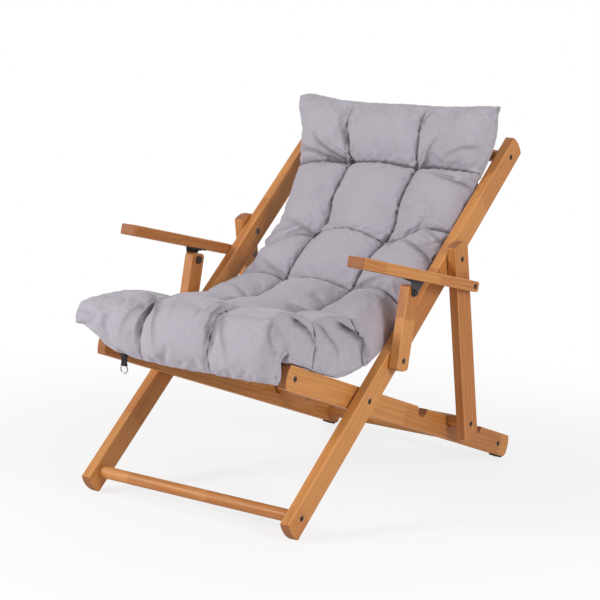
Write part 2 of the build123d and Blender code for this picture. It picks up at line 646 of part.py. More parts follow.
# ---- sling under the cushion, looped round the front bar and the top bar ----
def sheet(points):
    """A cloth strip across the chair along a run of (y, z) points."""
    outer = []
    for i, (y, z) in enumerate(points):
        before = points[max(i - 1, 0)]
        after = points[min(i + 1, len(points) - 1)]
        run = direction(before, after)
        outer.append((y + SLING_T * sin(run), z - SLING_T * cos(run)))
    face = make_face(Curve() + [
        Spline(*points), Line(points[-1], outer[-1]), Spline(*outer), Line(outer[0], points[0])
    ])
    cross = Plane(origin=(-SLING_W / 2, 0, 0), x_dir=(0, 1, 0), z_dir=(1, 0, 0))
    return cross.location * extrude(face, SLING_W)


def bar_loop(frame, along):
    return in_frame(frame, ring(
        -SLING_W / 2, SLING_W / 2, BAR_R + BAR_SEAT_GAP, BAR_R + BAR_SEAT_GAP + SLING_T, along
    ))


fold_sling = place(
    MAIN, fold_angle, FOLD_SLING_share[0] * CUSHION_T, FOLD_SLING_share[1] * CUSHION_T
)
loop_r = BAR_R + BAR_SEAT_GAP + SLING_T
back_points = [place(fold_sling, fold_run, SOFT_GAP / 2, 0)]
for along, off in BACK_SLING_shares:
    back_points.append(place(MAIN, recline, along * BACK_CUSHION_L, off * CUSHION_T))
TOP_BAR = place(MAIN, recline, TOP_BAR_AT, 0)
back_points.append(place(TOP_BAR, recline + radians(TOP_WRAP_ANGLE), 0, loop_r))
keep("back_sling", sheet(back_points) + bar_loop(BACK, TOP_BAR_AT))

seat_points = [place(FRONT_BAR, seat_line, 0, loop_r)]
for along, off in SEAT_SLING_shares:
    seat_points.append(place(MAIN, seat_line, -along * SEAT_CUSHION_L, off * CUSHION_T))
seat_points.append(place(fold_sling, fold_run, -SOFT_GAP / 2, 0))
keep("seat_sling", sheet(seat_points) + bar_loop(SEAT, -FRONT_BAR_AT))

# ---- a webbing strap with a ring, hanging from the front bar on the sitter's right ----
strap_x = STRAP_INSET - SEAT_IN
loop_out = BAR_R + BAR_SEAT_GAP + STRAP_T
loop = in_frame(SEAT, ring(
    strap_x - STRAP_W / 2, strap_x + STRAP_W / 2, BAR_R + BAR_SEAT_GAP, loop_out, -FRONT_BAR_AT
))
tail_top = FRONT_BAR[1] - loop_out + STRAP_T / 2
tail = Pos(strap_x, FRONT_BAR[0], tail_top - STRAP_L / 2) * Box(STRAP_W, STRAP_T, STRAP_L)
keep("hanging_strap", loop + tail)
ring_z = tail_top - STRAP_L - RING_R - RING_WIRE_R - BAR_SEAT_GAP
hoop = Pos(strap_x, FRONT_BAR[0], ring_z) * Rotation(90, 0, 0) * Torus(RING_R, RING_WIRE_R)
keep("strap_ring", hoop)

# ---- the middle of the footprint becomes the origin, and each piece is written out ----
boxes = [solid.bounding_box() for solids in nodes.values() for solid in solids]
low_y = min(box.min.Y for box in boxes)
high_y = max(box.max.Y for box in boxes)
shift_y = -(low_y + high_y) / 2
os.makedirs("parts", exist_ok=True)
for name, solids in nodes.items():
    moved = [Pos(0, shift_y, 0) * solid for solid in solids]
    shape = moved[0] if len(moved) == 1 else Compound(children=moved)
    shape.label = name
    export_step(shape, os.path.join("parts", name + ".step"))

for name, point in (
    ("main", MAIN), ("prop", PROP_PIVOT), ("post", POST_PIVOT), ("arm", ARM_PIVOT),
    ("bracket", BRACKET_BOLT), ("prop_bar", PROP_BAR), ("fold", FOLD),
):
    print("point", name, round(point[0] + shift_y, 4), round(point[1], 4))
print("angles", *[
    round(degrees(a), 4) for a in (recline, seat_fall, prop_lean, arm_lean, post_lean, fold_run)
])
print("shift", round(shift_y, 4), "low", round(low_y, 3), "high", round(high_y, 3))
print("nodes", len(nodes))
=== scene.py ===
"""Looks of a folding timber lounge armchair with a tufted cushion, round its CAD frame."""
import math

import bpy
import numpy as np
from bpy.props import FloatProperty, FloatVectorProperty, IntProperty, PointerProperty
from mathutils import Matrix, Vector


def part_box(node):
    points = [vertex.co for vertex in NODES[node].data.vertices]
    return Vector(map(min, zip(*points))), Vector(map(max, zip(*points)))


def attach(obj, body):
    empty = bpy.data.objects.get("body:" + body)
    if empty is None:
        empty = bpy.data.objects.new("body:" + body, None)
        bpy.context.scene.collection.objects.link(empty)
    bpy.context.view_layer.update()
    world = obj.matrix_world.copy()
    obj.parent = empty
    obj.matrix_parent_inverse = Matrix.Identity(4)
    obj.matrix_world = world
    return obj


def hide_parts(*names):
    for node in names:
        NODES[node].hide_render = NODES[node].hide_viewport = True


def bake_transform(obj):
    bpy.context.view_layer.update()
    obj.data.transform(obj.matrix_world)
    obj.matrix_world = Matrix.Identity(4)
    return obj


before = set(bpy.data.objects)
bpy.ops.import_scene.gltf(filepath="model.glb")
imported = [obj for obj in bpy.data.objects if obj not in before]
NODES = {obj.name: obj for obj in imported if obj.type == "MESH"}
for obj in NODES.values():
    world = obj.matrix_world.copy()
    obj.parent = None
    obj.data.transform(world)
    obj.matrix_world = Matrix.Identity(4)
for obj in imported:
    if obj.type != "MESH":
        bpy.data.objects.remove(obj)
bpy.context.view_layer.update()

bl_info = {
    "name": "Folding lounge armchair",
    "version": (1, 0, 0),
    "blender": (4, 5, 0),
    "location": "3D View > Sidebar > Armchair",
    "description": "Dresses the armchair's frame: timber, steel, tufted cushion, sling and stage",
    "category": "Object",
}

# Points of the side plane as (y, z) in metres, and the lean of each board from the rear
# towards straight up, in degrees.
MAIN_PIVOT = (-0.1446, 0.23845)
PROP_PIVOT = (0.15086, 0.4991)
POST_PIVOT = (-0.06061, 0.31254)
ARM_PIVOT = (0.17357, 0.4406)
FRONT_BAR = (-0.36499, 0.31709)
TOP_BAR = (0.37433, 0.69625)
RECLINE = 41.419
SEAT_LEAN = -19.638
PROP_LEAN = -80.266
POST_LEAN = 78.832
ARM_LEAN = 166.643
BAR_RADIUS = 0.013

# Board name: point on its line, lean, half width, its middle across the chair, half thickness.
SIDE_BOARDS = {
    "long_rail": (MAIN_PIVOT, RECLINE, 0.025, 0.261, 0.011),
    "seat_rail": (MAIN_PIVOT, SEAT_LEAN, 0.025, 0.234, 0.011),
    "prop": (PROP_PIVOT, PROP_LEAN, 0.025, 0.285, 0.011),
    "post": (POST_PIVOT, POST_LEAN, 0.021, 0.285, 0.011),
    "armrest": (ARM_PIVOT, ARM_LEAN, 0.0115, 0.2955, 0.0215),
}
# Noise scales along and across a board, growth lines as radians to a metre across and how
# far slow noise bends them, and fingers of a joint to a metre with their half length.
SLOW_GRAIN = (2.2, 24.0, 24.0)
STREAKS = (9.0, 260.0, 260.0)
FIBRES = (45.0, 1500.0, 1500.0)
GROWTH_LINES = 520.0
GROWTH_BEND = 26.0
FINGERS = 190.0
FINGER_REACH = 0.006
CROSSBARS = ("seat_front_bar", "seat_rear_bar", "foot_bar", "top_bar", "prop_bar")

# The cushion's middle line from the front hem to the top seam, as (y, z), and the distance
# along it, once smoothed, of each place: tuft rows at even places, crowns at odd ones.
CUSHION_RUN = np.array([
    (-0.42264, 0.31441), (-0.42753, 0.36945), (-0.41746, 0.41640), (-0.34059, 0.38547),
    (-0.25554, 0.36138), (-0.18062, 0.36246), (-0.10770, 0.36744), (-0.03133, 0.38171),
    (0.04328, 0.39887), (0.09652, 0.45650), (0.17079, 0.49135), (0.22223, 0.57807),
    (0.28715, 0.64735), (0.30406, 0.71693), (0.32418, 0.78936),
])
PLACE_AT = np.array([
    0, 0.049, 0.086, 0.153, 0.242, 0.315, 0.390, 0.472, 0.540, 0.618, 0.697, 0.797, 0.889,
    0.958, 1.033,
])
LAST_PLACE = len(PLACE_AT) - 1
TUFT_ROWS = (2, 4, 6, 8, 10, 12)
# At each place, millimetres over the line: right pillow, right tuft column, middle pillow,
# left column, left pillow; then under it: right side, middle, left side.
PILLOWS_MM = np.array([
    (5, 5, 5, 5, 5, 5, 5, 5),
    (41, 29, 41, 29, 40, 24, 22, 30),
    (46, 31, 54, 40, 54, 12, 4, 33),
    (47, 33, 53, 34, 52, 46, 44, 48),
    (28, 10, 30, 10, 34, 40, 34, 58),
    (52, 34, 57, 32, 52, 46, 44, 70),
    (27, 15, 30, 14, 30, 38, 31, 66),
    (49, 21, 53, 18, 50, 45, 44, 52),
    (23, 7, 27, 3, 25, 40, 37, 42),
    (51, 31, 61, 32, 57, 38, 35, 40),
    (20, 8, 53, 7, 24, 42, 40, 42),
    (54, 33, 58, 35, 56, 41, 37, 40),
    (18, 10, 21, 11, 13, 41, 38, 40),
    (47, 33, 50, 34, 48, 37, 33, 37),
    (5, 5, 5, 5, 5, 5, 5, 5),
])
# At each place: x of the right and left side seam, each seam's height over the line, and how
# far in each side's roll reaches, all in millimetres.
SIDES_MM = np.array([
    (-262, 246, 16, 0, 34, 26), (-266, 248, 14, -2, 34, 26), (-265, 250, 14, -18, 38, 28),
    (-246, 251, 4, -36, 80, 32), (-228, 250, 0, -50, 80, 36), (-216, 250, 0, -60, 85, 40),
    (-214, 248, 0, -56, 85, 44), (-208, 247, 0, -36, 85, 55), (-205, 246, 0, -12, 85, 65),
    (-200, 247, 0, 0, 85, 80), (-207, 246, 0, 0, 85, 80), (-206, 247, 0, 0, 85, 80),
    (-222, 248, 0, 0, 80, 75), (-240, 263, 0, 0, 75, 70), (-268, 266, 0, 0, 50, 50),
])
# How far each tuft row lies beyond its place along the run, in millimetres, at several x.
BEND_X = np.array([-0.25, -0.19, -0.14, -0.076, 0.012, 0.1, 0.14, 0.18, 0.25])
ROW_BENDS_MM = np.array([
    (0, 0, 0, -1, 1, -1, 0, 0, 0), (-15, -8, -3, 0, 3, -6, -16, -30, -50),
    (-10, -5, 0, 0, 3, -5, -14, -24, -36), (-20, -12, 0, -2, 0, -2, 0, 0, -34),
    (-62, -48, -20, -13, 0, -7, 2, 42, 52), (-14, -7, 0, 2, 9, 4, 12, 10, 13),
])
# How far the two ends stand out across the chair: x, then hem and top seam in metres.
END_LIFTS = np.array([
    (-0.265, 0.054, 0.008), (-0.240, 0.052, 0.016), (-0.200, 0.038, 0.009), (-0.150, 0.012, 0.003),
    (-0.080, 0.000, 0.003), (0.010, 0.000, 0.006), (0.100, 0.000, 0.008), (0.170, 0.000, 0.012),
    (0.220, 0.000, 0.018), (0.265, 0.000, 0.022),
])
# Creases of the upper face: depth and half width, then points as x and distance along the
# cushion, from its deep end to where it fades, all in millimetres.
PLEATS_MM = (
    (7.0, 4.0, (-78, 890), (-134, 912), (-162, 930), (-184, 952)),
    (6.5, 4.0, (-80, 889), (-151, 901), (-191, 911), (-232, 926)),
    (3.0, 3.5, (-228, 912), (-205, 907), (-180, 914)),
    (3.5, 4.0, (-96, 935), (-112, 963), (-118, 990), (-106, 1028)),
    (5.5, 4.0, (106, 893), (125, 913), (134, 937), (146, 955), (158, 970)),
    (4.5, 3.5, (90, 990), (106, 1001), (114, 1015), (122, 1031)),
    (4.0, 3.5, (262, 960), (237, 953), (213, 948), (170, 922)),
    (5.5, 4.0, (262, 866), (224, 858), (183, 863), (146, 876)),
    (3.5, 3.5, (212, 868), (170, 873), (132, 872)),
    (7.0, 5.0, (246, 648), (224, 655), (190, 669), (158, 684)),
    (4.0, 4.5, (246, 712), (201, 726), (168, 733)),
    (4.0, 5.0, (112, 684), (150, 704), (190, 708)),
    (4.0, 4.5, (-80, 676), (-120, 662), (-160, 650)),
    (3.5, 4.5, (-82, 690), (-130, 700), (-175, 715)),
    (3.0, 4.5, (-205, 655), (-180, 668), (-150, 690)),
    (3.5, 4.5, (106, 545), (160, 566), (215, 574)),
    (3.0, 4.5, (-82, 548), (-130, 560), (-165, 575)),
    (3.0, 4.5, (-80, 398), (-130, 420), (-170, 430)),
    (6.5, 4.5, (-78, 90), (-84, 72), (-85, 56), (-87, 40)),
    (4.5, 4.5, (-66, 92), (-46, 80), (-40, 68), (-28, 40)),
    (4.0, 5.0, (-86, 92), (-104, 104), (-128, 108)),
    (6.5, 4.5, (98, 90), (105, 76), (106, 64), (103, 40)),
    (4.5, 4.0, (84, 94), (86, 78), (96, 60), (108, 46)),
    (3.5, 5.0, (112, 86), (130, 72), (143, 58), (158, 38)),
    (3.0, 5.0, (-104, 84), (-118, 66), (-126, 44)),
)
# Folds of the left flank, written the same way with height over the middle line and distance.
FLANK_FOLDS_MM = (
    (8.0, 5.5, (38, 118), (23, 159), (-14, 203)),
    (10.0, 6.0, (34, 295), (8, 343), (-34, 380)),
    (6.0, 5.0, (-2, 350), (-54, 377)),
    (5.0, 5.0, (30, 225), (6, 258), (-30, 280)),
    (3.5, 2.6, (46, 84), (20, 63), (6, 40)),
    (3.0, 2.6, (-6, 69), (-30, 133), (-44, 183)),
)
# Widths of the right, middle and left pillows that the cloth's threads are counted over, and
# of either side pillow for the number of the mesh's columns.
PILLOW_WIDTHS = (0.17, 0.176, 0.149)
SIDE_PILLOW = 0.15

# How strongly the cushion's mesh crowds towards its tufts, from 0 to 1.
CROWDING = 0.55

# The cushion's rounding: powers of the rise from a tuft row to the crown over and under the
# line, of the rise from a tuft column to the crest, and of the fall to the side seam over and
# under; the power of the rise from either end, and half the gap of the faces at a side seam.
ROW_RISE = (0.5, 1.6)
COLUMN_RISE = 0.55
SEAM_ROUND = (2.1, 2.6)
END_ROUND = 2.4
SEAM_GAP = 0.0015
# Over how far from each end its standing out fades, and the power of the fading.
END_REACH = 0.12
END_POWER = 1.4
# The tuft columns' turn at the top, right and left, their bow above the row at place 10, with
# the place of most bow and its width in places, and the front right corner's fall with the
# last place that it reaches, the x where it starts and the width over which it grows.
COLUMN_TURNS = (-0.024, -0.006)
COLUMN_BOW = (0.012, 10.4, 0.42)
CORNER_FALL = (0.021, 3.4, 0.13, 0.13)
# Where things change across the chair, as x and the width of the change: the lower face from
# the sling to the rails, the end of the upper creases, the start of the flank's folds and that
# of the side's gathers.
SLING_EDGE = (0.178, 0.045)
TOP_EDGE = (0.235, 0.02)
FLANK_EDGE = (0.205, 0.03)
GATHER_EDGE = (0.222, 0.02)

# A crease's lip: its height to the crease's depth, and its middle and spread in half widths;
# the power of a crease's fading and the depth, in millimetres, whose painted shade is darkest.
CREASE_LIP = (0.38, 2.3, 1.4)
CREASE_FADE = 0.6
DARKEST_DEPTH = 7

# Fine relief of the cover: its height, the length over which it repeats and, beside the tuft
# rows and the ends, how wide its band is.
ROW_RIPPLE = (0.0011, 0.019, 0.026)
SIDE_GATHER = (0.0005, 0.019)
HEM_RIPPLE = (0.0006, 0.031, 0.05)
COVER_WAVE = 0.0005
# Painted shade down in the tuft rows and columns and in the front crest's row, and its half width.
VALLEY_SHADE = 0.8
CREST_SHADE = 0.12
SHADE_WIDTH = 0.0026

# The cloth simulation's settings, and how often its broad move is smoothed before it is
# taken off.
CLOTH = {
    "quality": 6, "mass": 0.25, "tension_stiffness": 22, "compression_stiffness": 22,
    "shear_stiffness": 8, "bending_stiffness": 0.12, "shrink_min": -0.045, "air_damping": 3,
    "use_pressure": True, "vertex_group_mass": "held", "pin_stiffness": 2.0,
}
SMOOTHINGS = 30
# The simulation's reach on the lower face, and the fine relief there, to the upper face's.
LOWER_REACH = 0.3
LOWER_RELIEF = 0.35

# Top edges of the seat rails, which the cushion's sides lie on: y and z at the rear, fall
# forwards, front end, inner face and the cover's clearance; and over how far the cushion is
# lifted onto them at the front and the inner face, and let down again behind.
RAIL_TOP = (-0.1446, 0.2664, 0.3568, -0.388, 0.221, 0.0015)
RAIL_EASE = 0.012
REAR_EASE = 0.05
# Furthest x of the cushion beside the long rails, how near their line that holds, the width
# of the change and how much wider it may be elsewhere; and the y between which it may not,
# because the post pivots' nuts sweep past there, with the width of that change.
BESIDE_RAILS = (0.2484, 0.027, 0.02, 0.05)
NUTS_SWEEP = (-0.3, 0.06, 0.03)

# The sling's run under the cushion, from the front bar to the top bar: y and z.
SLING_RUN = np.array([
    (-0.3373, 0.3223), (-0.2648, 0.3158), (-0.1979, 0.3105), (-0.1009, 0.3112),
    (-0.0774, 0.3138), (-0.0067, 0.3241), (0.0487, 0.3516), (0.1154, 0.3972),
    (0.1782, 0.4472), (0.2325, 0.5058), (0.2807, 0.5724), (0.3283, 0.6397),
])

# A way in which no seam or thread runs, and how far a tube's ends are drawn together.
OFF_EVERY_RUN = (0.31, 0.87, 0.38)
CLOSED_END = 0.02

# Which way the sling's turned-under ends run from the front bar and the top bar.
FRONT_TAIL = (0.955, -0.05)
TOP_TAIL = (-0.52, -0.80)

# The strap: half width, thickness, the radius of its loop round the bar and how far below the
# bar's middle that is pinched, the ring's wire and the radius of the loop round it.
STRAP_HALF = 0.007
STRAP_THICK = 0.0012
BAR_LOOP = 0.0141
STRAP_PINCH = 0.0185
WIRE_RADIUS = 0.0015
WIRE_LOOP = 0.0023

# The camera of the photograph: place in metres, turns in radians, focal length in widths of
# the picture.
CAMERA_AT = (2.532887, -3.476458, 1.190687)
CAMERA_YAW = 0.6326811
CAMERA_PITCH = 0.1834409
CAMERA_ROLL = 0.0264685
FOCAL_WIDTHS = 2035.4 / 600
SENSOR_MM = 36.0

WHITE = (1.0, 1.0, 1.0, 1.0)
# Half the floor's width, and how far from the middle the white backdrop starts and is whole.
FLOOR_HALF = 9.0
WHITE_FROM = (0.55, 1.5)
# Lamps: place, width, share of the key light's power and colour; and where they look.
LAMPS = {
    "key": ((-2.0, -2.9, 1.9), 1.1, 1.0, (1.0, 0.99, 0.975)),
    "side": ((3.2, -0.6, 1.9), 1.6, 0.62, (1.0, 0.99, 0.98)),
}
LAMP_AIM = (0.0, 0.0, 0.4)


# Settings
def colour(name, description, default):
    return FloatVectorProperty(
        name=name, description=description, default=default, subtype="COLOR", size=3,
        min=0.0, max=1.0,
    )


def length(name, description, default):
    return FloatProperty(
        name=name, description=description, default=default, unit="LENGTH", min=0.0,
    )


def share(name, description, default):
    return FloatProperty(
        name=name, description=description, default=default, subtype="FACTOR", min=0.0, max=1.0,
    )


class TimberSettings(bpy.types.PropertyGroup):
    """Colours and figure of the oiled timber."""

    pale: colour("Pale", "Lightest wood between the growth lines", (0.60, 0.258, 0.072))
    warm: colour("Warm", "Main tone of the wood", (0.43, 0.150, 0.034))
    dark: colour("Dark", "Growth lines and pores", (0.31, 0.105, 0.03))
    end: colour("End grain", "Sawn ends of the boards", (0.25, 0.09, 0.035))
    lamella: length("Lamella", "Length of wood between two finger joints", 0.21)
    # Width of the edges that get a painted highlight.
    arris: length("Arris", "Width of the rubbed, paler edges", 0.0022)
    roughness: share("Roughness", "Roughness of the oiled surface", 0.46)


class MetalSettings(bpy.types.PropertyGroup):
    """Colours of the fittings."""

    bolt: colour("Bolts", "Burnished bolts and nuts", (0.11, 0.095, 0.085))
    bracket: colour("Brackets", "Powder coat of the armrest brackets", (0.035, 0.036, 0.042))
    plated: colour("Plated", "Washers, spacers and the strap's ring", (0.52, 0.51, 0.49))
    glide: colour("Glides", "Moulded glides under the rear feet", (0.035, 0.03, 0.028))


class CushionSettings(bpy.types.PropertyGroup):
    """Size and cover of the cushion."""

    cloth: colour("Cover", "Cotton cover of the cushion", (0.47, 0.44, 0.50))
    # Dark cover colour: the darker threads and, taken deeper, the painted shade in the creases.
    shade: colour("Cover, dark threads and painted shade", "Darker threads and creases of the cover", (0.37, 0.34, 0.39))
    # How strongly painted shade darkens the cover in its creases, tuft rows and columns.
    crease: share("Crease", "How much darker the cover is down in its creases", 0.95)
    tuft_side: length("Tuft spacing", "Each tuft column from their middle", 0.088)
    tuft_shift: length("Tuft shift", "Middle of the tuft columns from the chair's", 0.012)
    step: length("Mesh step", "Spacing of the cushion's mesh", 0.0068)
    pressure: FloatProperty(
        name="Pressure", description="Filling pressure of the simulation", default=3.2, min=0.0,
    )
    frames: IntProperty(
        name="Frames", description="Length of the simulation", default=20, min=2, max=60,
    )
    reach: length("Reach", "Furthest that the simulation may move a point", 0.009)


class SlingSettings(bpy.types.PropertyGroup):
    """Size and colour of the sling and the strap."""

    canvas: colour("Canvas", "Canvas of the sling", (0.50, 0.48, 0.51))
    canvas_dark: colour("Canvas, dark", "Shaded threads of the canvas", (0.40, 0.38, 0.41))
    webbing: colour("Webbing", "Strap on the front bar", (0.022, 0.022, 0.024))
    width: length("Sling width", "Across the sling", 0.36)
    cloth: length("Sling cloth", "Thickness of the sling's canvas", 0.0014)
    overlap: length("Sling overlap", "Turned under and sewn behind each bar", 0.045)


class StageSettings(bpy.types.PropertyGroup):
    """Floor and lights."""

    floor: colour("Floor", "Pale floor", (0.9, 0.895, 0.9))
    clean: share("Clean", "How far the white backdrop covers the floor by the chair", 0.76)
    key: FloatProperty(name="Key", description="Power of the key light", default=82.0, unit="POWER")
    fill: FloatProperty(name="Fill", description="Strength of the soft light all round", default=0.43)


# Shader maths
def node_operators(operation):
    """A Math node's operation as a Python operator and as its reflected form."""
    def forward(self, other):
        return self.math(operation, self, other)

    def reflected(self, other):
        return self.math(operation, other, self)

    return forward, reflected


class Value:
    """A socket of a material's node tree, for use in Python sums."""

    def __init__(self, tree, socket=None):
        self.tree = tree
        self.socket = socket

    def node(self, kind, settings=None, inputs=None, output=0):
        """Adds a node: its settings first, then a value or a link for each named socket."""
        made = self.tree.nodes.new(kind)
        for key, value in (settings or {}).items():
            setattr(made, key, value)
        for key, value in (inputs or {}).items():
            if isinstance(value, Value):
                self.tree.links.new(value.socket, made.inputs[key])
            else:
                made.inputs[key].default_value = value
        return Value(self.tree, made.outputs[output] if len(made.outputs) else None)

    def math(self, operation, *values):
        return self.node("ShaderNodeMath", {"operation": operation}, dict(enumerate(values)))

    def vector(self, operation, *values, output=0):
        return self.node(
            "ShaderNodeVectorMath", {"operation": operation}, dict(enumerate(values)), output
        )

    def mixed(self, first, second):
        """Colour from first to second as this value goes from 0 to 1."""
        inputs = {0: self}
        for key, value in ((6, first), (7, second)):
            inputs[key] = value if isinstance(value, Value) else (*value, 1.0)
        return self.node("ShaderNodeMix", {"data_type": "RGBA"}, inputs, 2)

    def between(self, low, high):
        """0 below low, 1 above high, eased in between."""
        return self.node(
            "ShaderNodeMapRange", {"interpolation_type": "SMOOTHSTEP"},
            {"Value": self, "From Min": low, "From Max": high},
        )

    __add__, __radd__ = node_operators("ADD")
    __sub__, __rsub__ = node_operators("SUBTRACT")
    __mul__, __rmul__ = node_operators("MULTIPLY")
    __truediv__ = node_operators("DIVIDE")[0]

    def __abs__(self):
        return self.math("ABSOLUTE", self)

    def parts(self):
        """The x, y and z of a vector."""
        split = self.tree.nodes.new("ShaderNodeSeparateXYZ")
        self.tree.links.new(self.socket, split.inputs[0])
        return [Value(self.tree, socket) for socket in split.outputs]

    def outputs(self, kind, *names):
        """The named outputs of a new node that has no inputs."""
        made = self.tree.nodes.new(kind)
        return [Value(self.tree, made.outputs[name]) for name in names]


def new_material(name):
    material = bpy.data.materials.new(name)
    material.use_nodes = True
    material.node_tree.nodes.clear()
    return material, Value(material.node_tree)


def finish_material(root, surface):
    root.node("ShaderNodeOutputMaterial", None, {"Surface": surface})


def principled(root, base, roughness, normal=None, **constants):
    inputs = {"Base Color": base, "Roughness": roughness}
    if normal is not None:
        inputs["Normal"] = normal
    for key, value in constants.items():
        inputs[key.replace("_", " ")] = value
    return root.node("ShaderNodeBsdfPrincipled", None, inputs)


def bump(root, height, distance, strength=1.0):
    return root.node(
        "ShaderNodeBump", None, {"Height": height, "Distance": distance, "Strength": strength}
    )


def noise(root, where, scale, detail=2.0, roughness=0.5, distortion=0.0):
    return root.node("ShaderNodeTexNoise", None, {
        "Vector": where, "Scale": scale, "Detail": detail, "Roughness": roughness,
        "Distortion": distortion,
    })


def stretched(where, scales):
    return where.vector("MULTIPLY", where, scales)


def put_material(piece, material):
    piece.data.materials.clear()
    piece.data.materials.append(material)


# Timber
def timber_material(name, turn, middle, half_y, half_z, seed, look):
    """Oiled timber whose grain runs with a board.

    Object coordinates are turned so that x runs along the board and y and z across it.
    Growth lines are sines of the distance across, bent by slow noise; each lamella between
    two finger joints shifts that pattern and has its own tone. Arrises where both faces end
    get a painted highlight, paler than the faces, and faces that look along the board are
    darker end grain. The factors of a board's seed and of a lamella's chance only keep their
    patterns apart.
    """
    material, root = new_material(name)
    texture = root.node("ShaderNodeTexCoord", output="Object")
    own = root.node(
        "ShaderNodeMapping", {"vector_type": "TEXTURE"},
        {"Vector": texture, "Location": middle, "Rotation": turn.to_euler()},
    )
    x, y, z = own.parts()

    finger = y.math("PINGPONG", y * FINGERS, 1.0) - 0.5
    joint = (x + finger * FINGER_REACH) / look.lamella + seed * 0.37
    block = joint.math("FLOOR", joint)
    chance = root.node(
        "ShaderNodeTexWhiteNoise", {"noise_dimensions": "2D"},
        {"Vector": root.node("ShaderNodeCombineXYZ", None, {0: block, 1: seed * 1.7})},
    )
    into = joint - block
    line = into.math("MINIMUM", into, 1.0 - into).between(0.0, 0.0035)

    shifted = own.vector(
        "ADD", own, root.node("ShaderNodeCombineXYZ", None, {1: chance * 0.31, 2: chance * 1.7})
    )
    slow = noise(root, stretched(shifted, SLOW_GRAIN), 1.0, 2.0, 0.5, 0.3)
    rings = (y + z * 0.6 + chance * 0.05) * GROWTH_LINES + slow * GROWTH_BEND
    rings = rings.math("SINE", rings) * 0.5 + 0.5
    streak = noise(root, stretched(shifted, STREAKS), 1.0, 3.0, 0.6)
    fibre = noise(root, stretched(shifted, FIBRES), 1.0, 2.0, 0.6)
    pores = fibre.between(0.60, 0.72)

    tone = rings * 0.30 + streak * 0.75 + slow * 0.35 + (chance - 0.5) * 0.62
    base = tone.between(0.25, 1.15).mixed(look.warm, look.pale)
    base = (pores * 0.34).mixed(base, look.dark)
    base = (streak.between(0.57, 0.85) * 0.30).mixed(base, look.dark)
    base = ((1 - line) * 0.45).mixed(base, look.dark)

    # Painted highlight: where both faces end, the wood is mixed towards a paler colour.
    corner_y = abs(y).between(half_y - look.arris, half_y - look.arris * 0.2)
    corner_z = abs(z).between(half_z - look.arris, half_z - look.arris * 0.2)
    arris_highlight = corner_y * corner_z * (0.45 + 0.5 * streak)
    base = arris_highlight.mixed(base, [min(1.0, c * 1.30 + 0.03) for c in look.pale])

    normal = root.node("ShaderNodeTexCoord", output="Normal")
    grain_way = tuple(turn.col[0])
    facing = abs(normal.vector("DOT_PRODUCT", normal, grain_way, output=1))
    end = facing.between(0.55, 0.9)
    base = (end * 0.72).mixed(base, look.end)

    rough = look.roughness + (streak - 0.5) * 0.16 + pores * 0.12 + end * 0.15
    relief = fibre * 0.6 + rings * 0.3 - pores * 0.8 + line * 0.6
    finish_material(root, principled(
        root, base, rough, bump(root, relief, 0.00018), Specular_IOR_Level=0.42,
    ))
    return material


class ARMCHAIR_OT_timber(bpy.types.Operator):
    """Gives every board and crossbar its oiled timber, with the grain along it"""

    bl_idname = "armchair.timber"
    bl_label = "Finish timber"

    def execute(self, context):
        look = context.scene.armchair_timber
        seed = 1
        for name, (at, lean, half_y, across, half_z) in SIDE_BOARDS.items():
            angle = math.radians(lean)
            turn = Matrix((
                (0.0, 0.0, 1.0),
                (math.cos(angle), -math.sin(angle), 0.0),
                (math.sin(angle), math.cos(angle), 0.0),
            ))
            for side, sign in (("left", 1), ("right", -1)):
                put_material(NODES[f"{name}_{side}"], timber_material(
                    f"timber {name} {side}", turn, (sign * across, *at), half_y, half_z,
                    seed, look,
                ))
                seed += 1
        for name in CROSSBARS:
            low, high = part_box(name)
            middle, no_arris = tuple((low + high) / 2), 1.0
            put_material(NODES[name], timber_material(
                f"timber {name}", Matrix.Identity(3), middle, no_arris, no_arris, seed, look,
            ))
            seed += 1
        return {"FINISHED"}


# Fittings
def metal_material(name, shade, roughness, relief, metallic=0.0, wear=None):
    """Metal, plastic or thread: fine speckle in roughness and bump, and worn spots."""
    material, root = new_material(name)
    where = root.node("ShaderNodeTexCoord", output="Object")
    fine = noise(root, where, 1400.0, 3.0, 0.6)
    broad = noise(root, where, 160.0, 3.0, 0.6)
    base = (broad * 0.5).mixed(shade, [c * 0.72 for c in shade])
    if wear is not None:
        base = (broad.between(0.54, 0.72) * fine.between(0.35, 0.6) * 0.7).mixed(base, wear)
    rough = roughness + (fine - 0.5) * 0.16 + (broad - 0.5) * 0.12
    finish_material(root, principled(
        root, base, rough, bump(root, fine, relief), Metallic=metallic,
    ))
    return material


class ARMCHAIR_OT_fittings(bpy.types.Operator):
    """Finishes bolts, nuts, washers, brackets, glides and the ring"""

    bl_idname = "armchair.fittings"
    bl_label = "Finish fittings"

    def execute(self, context):
        look = context.scene.armchair_metal
        dark = metal_material(
            "burnished steel", look.bolt, roughness=0.42, metallic=0.85, relief=0.00006,
            wear=[c * 2.6 for c in look.bolt],
        )
        plated = metal_material(
            "zinc plate", look.plated, roughness=0.34, metallic=1.0, relief=0.00005
        )
        coat = metal_material("powder coat", look.bracket, roughness=0.48, relief=0.00012)
        glide = metal_material("moulded plastic", look.glide, roughness=0.6, relief=0.0001)
        for name, node in NODES.items():
            if name.startswith("arm_bracket"):
                put_material(node, coat)
            elif name == "rear_glides":
                put_material(node, glide)
            elif name == "strap_ring" or "washer" in name or "spacer" in name:
                put_material(node, plated)
            elif "bolt" in name or "nut" in name or "screw" in name:
                put_material(node, dark)
        return {"FINISHED"}


# Meshes from grids
def ramp(values, start, width):
    """0 up to start, 1 from a width further on, in proportion between."""
    return np.clip((values - start) / width, 0, 1)


def bell(values, width):
    """A bell of height 1: e to the power of minus the square of value over width."""
    return np.exp(-(values / width) ** 2)


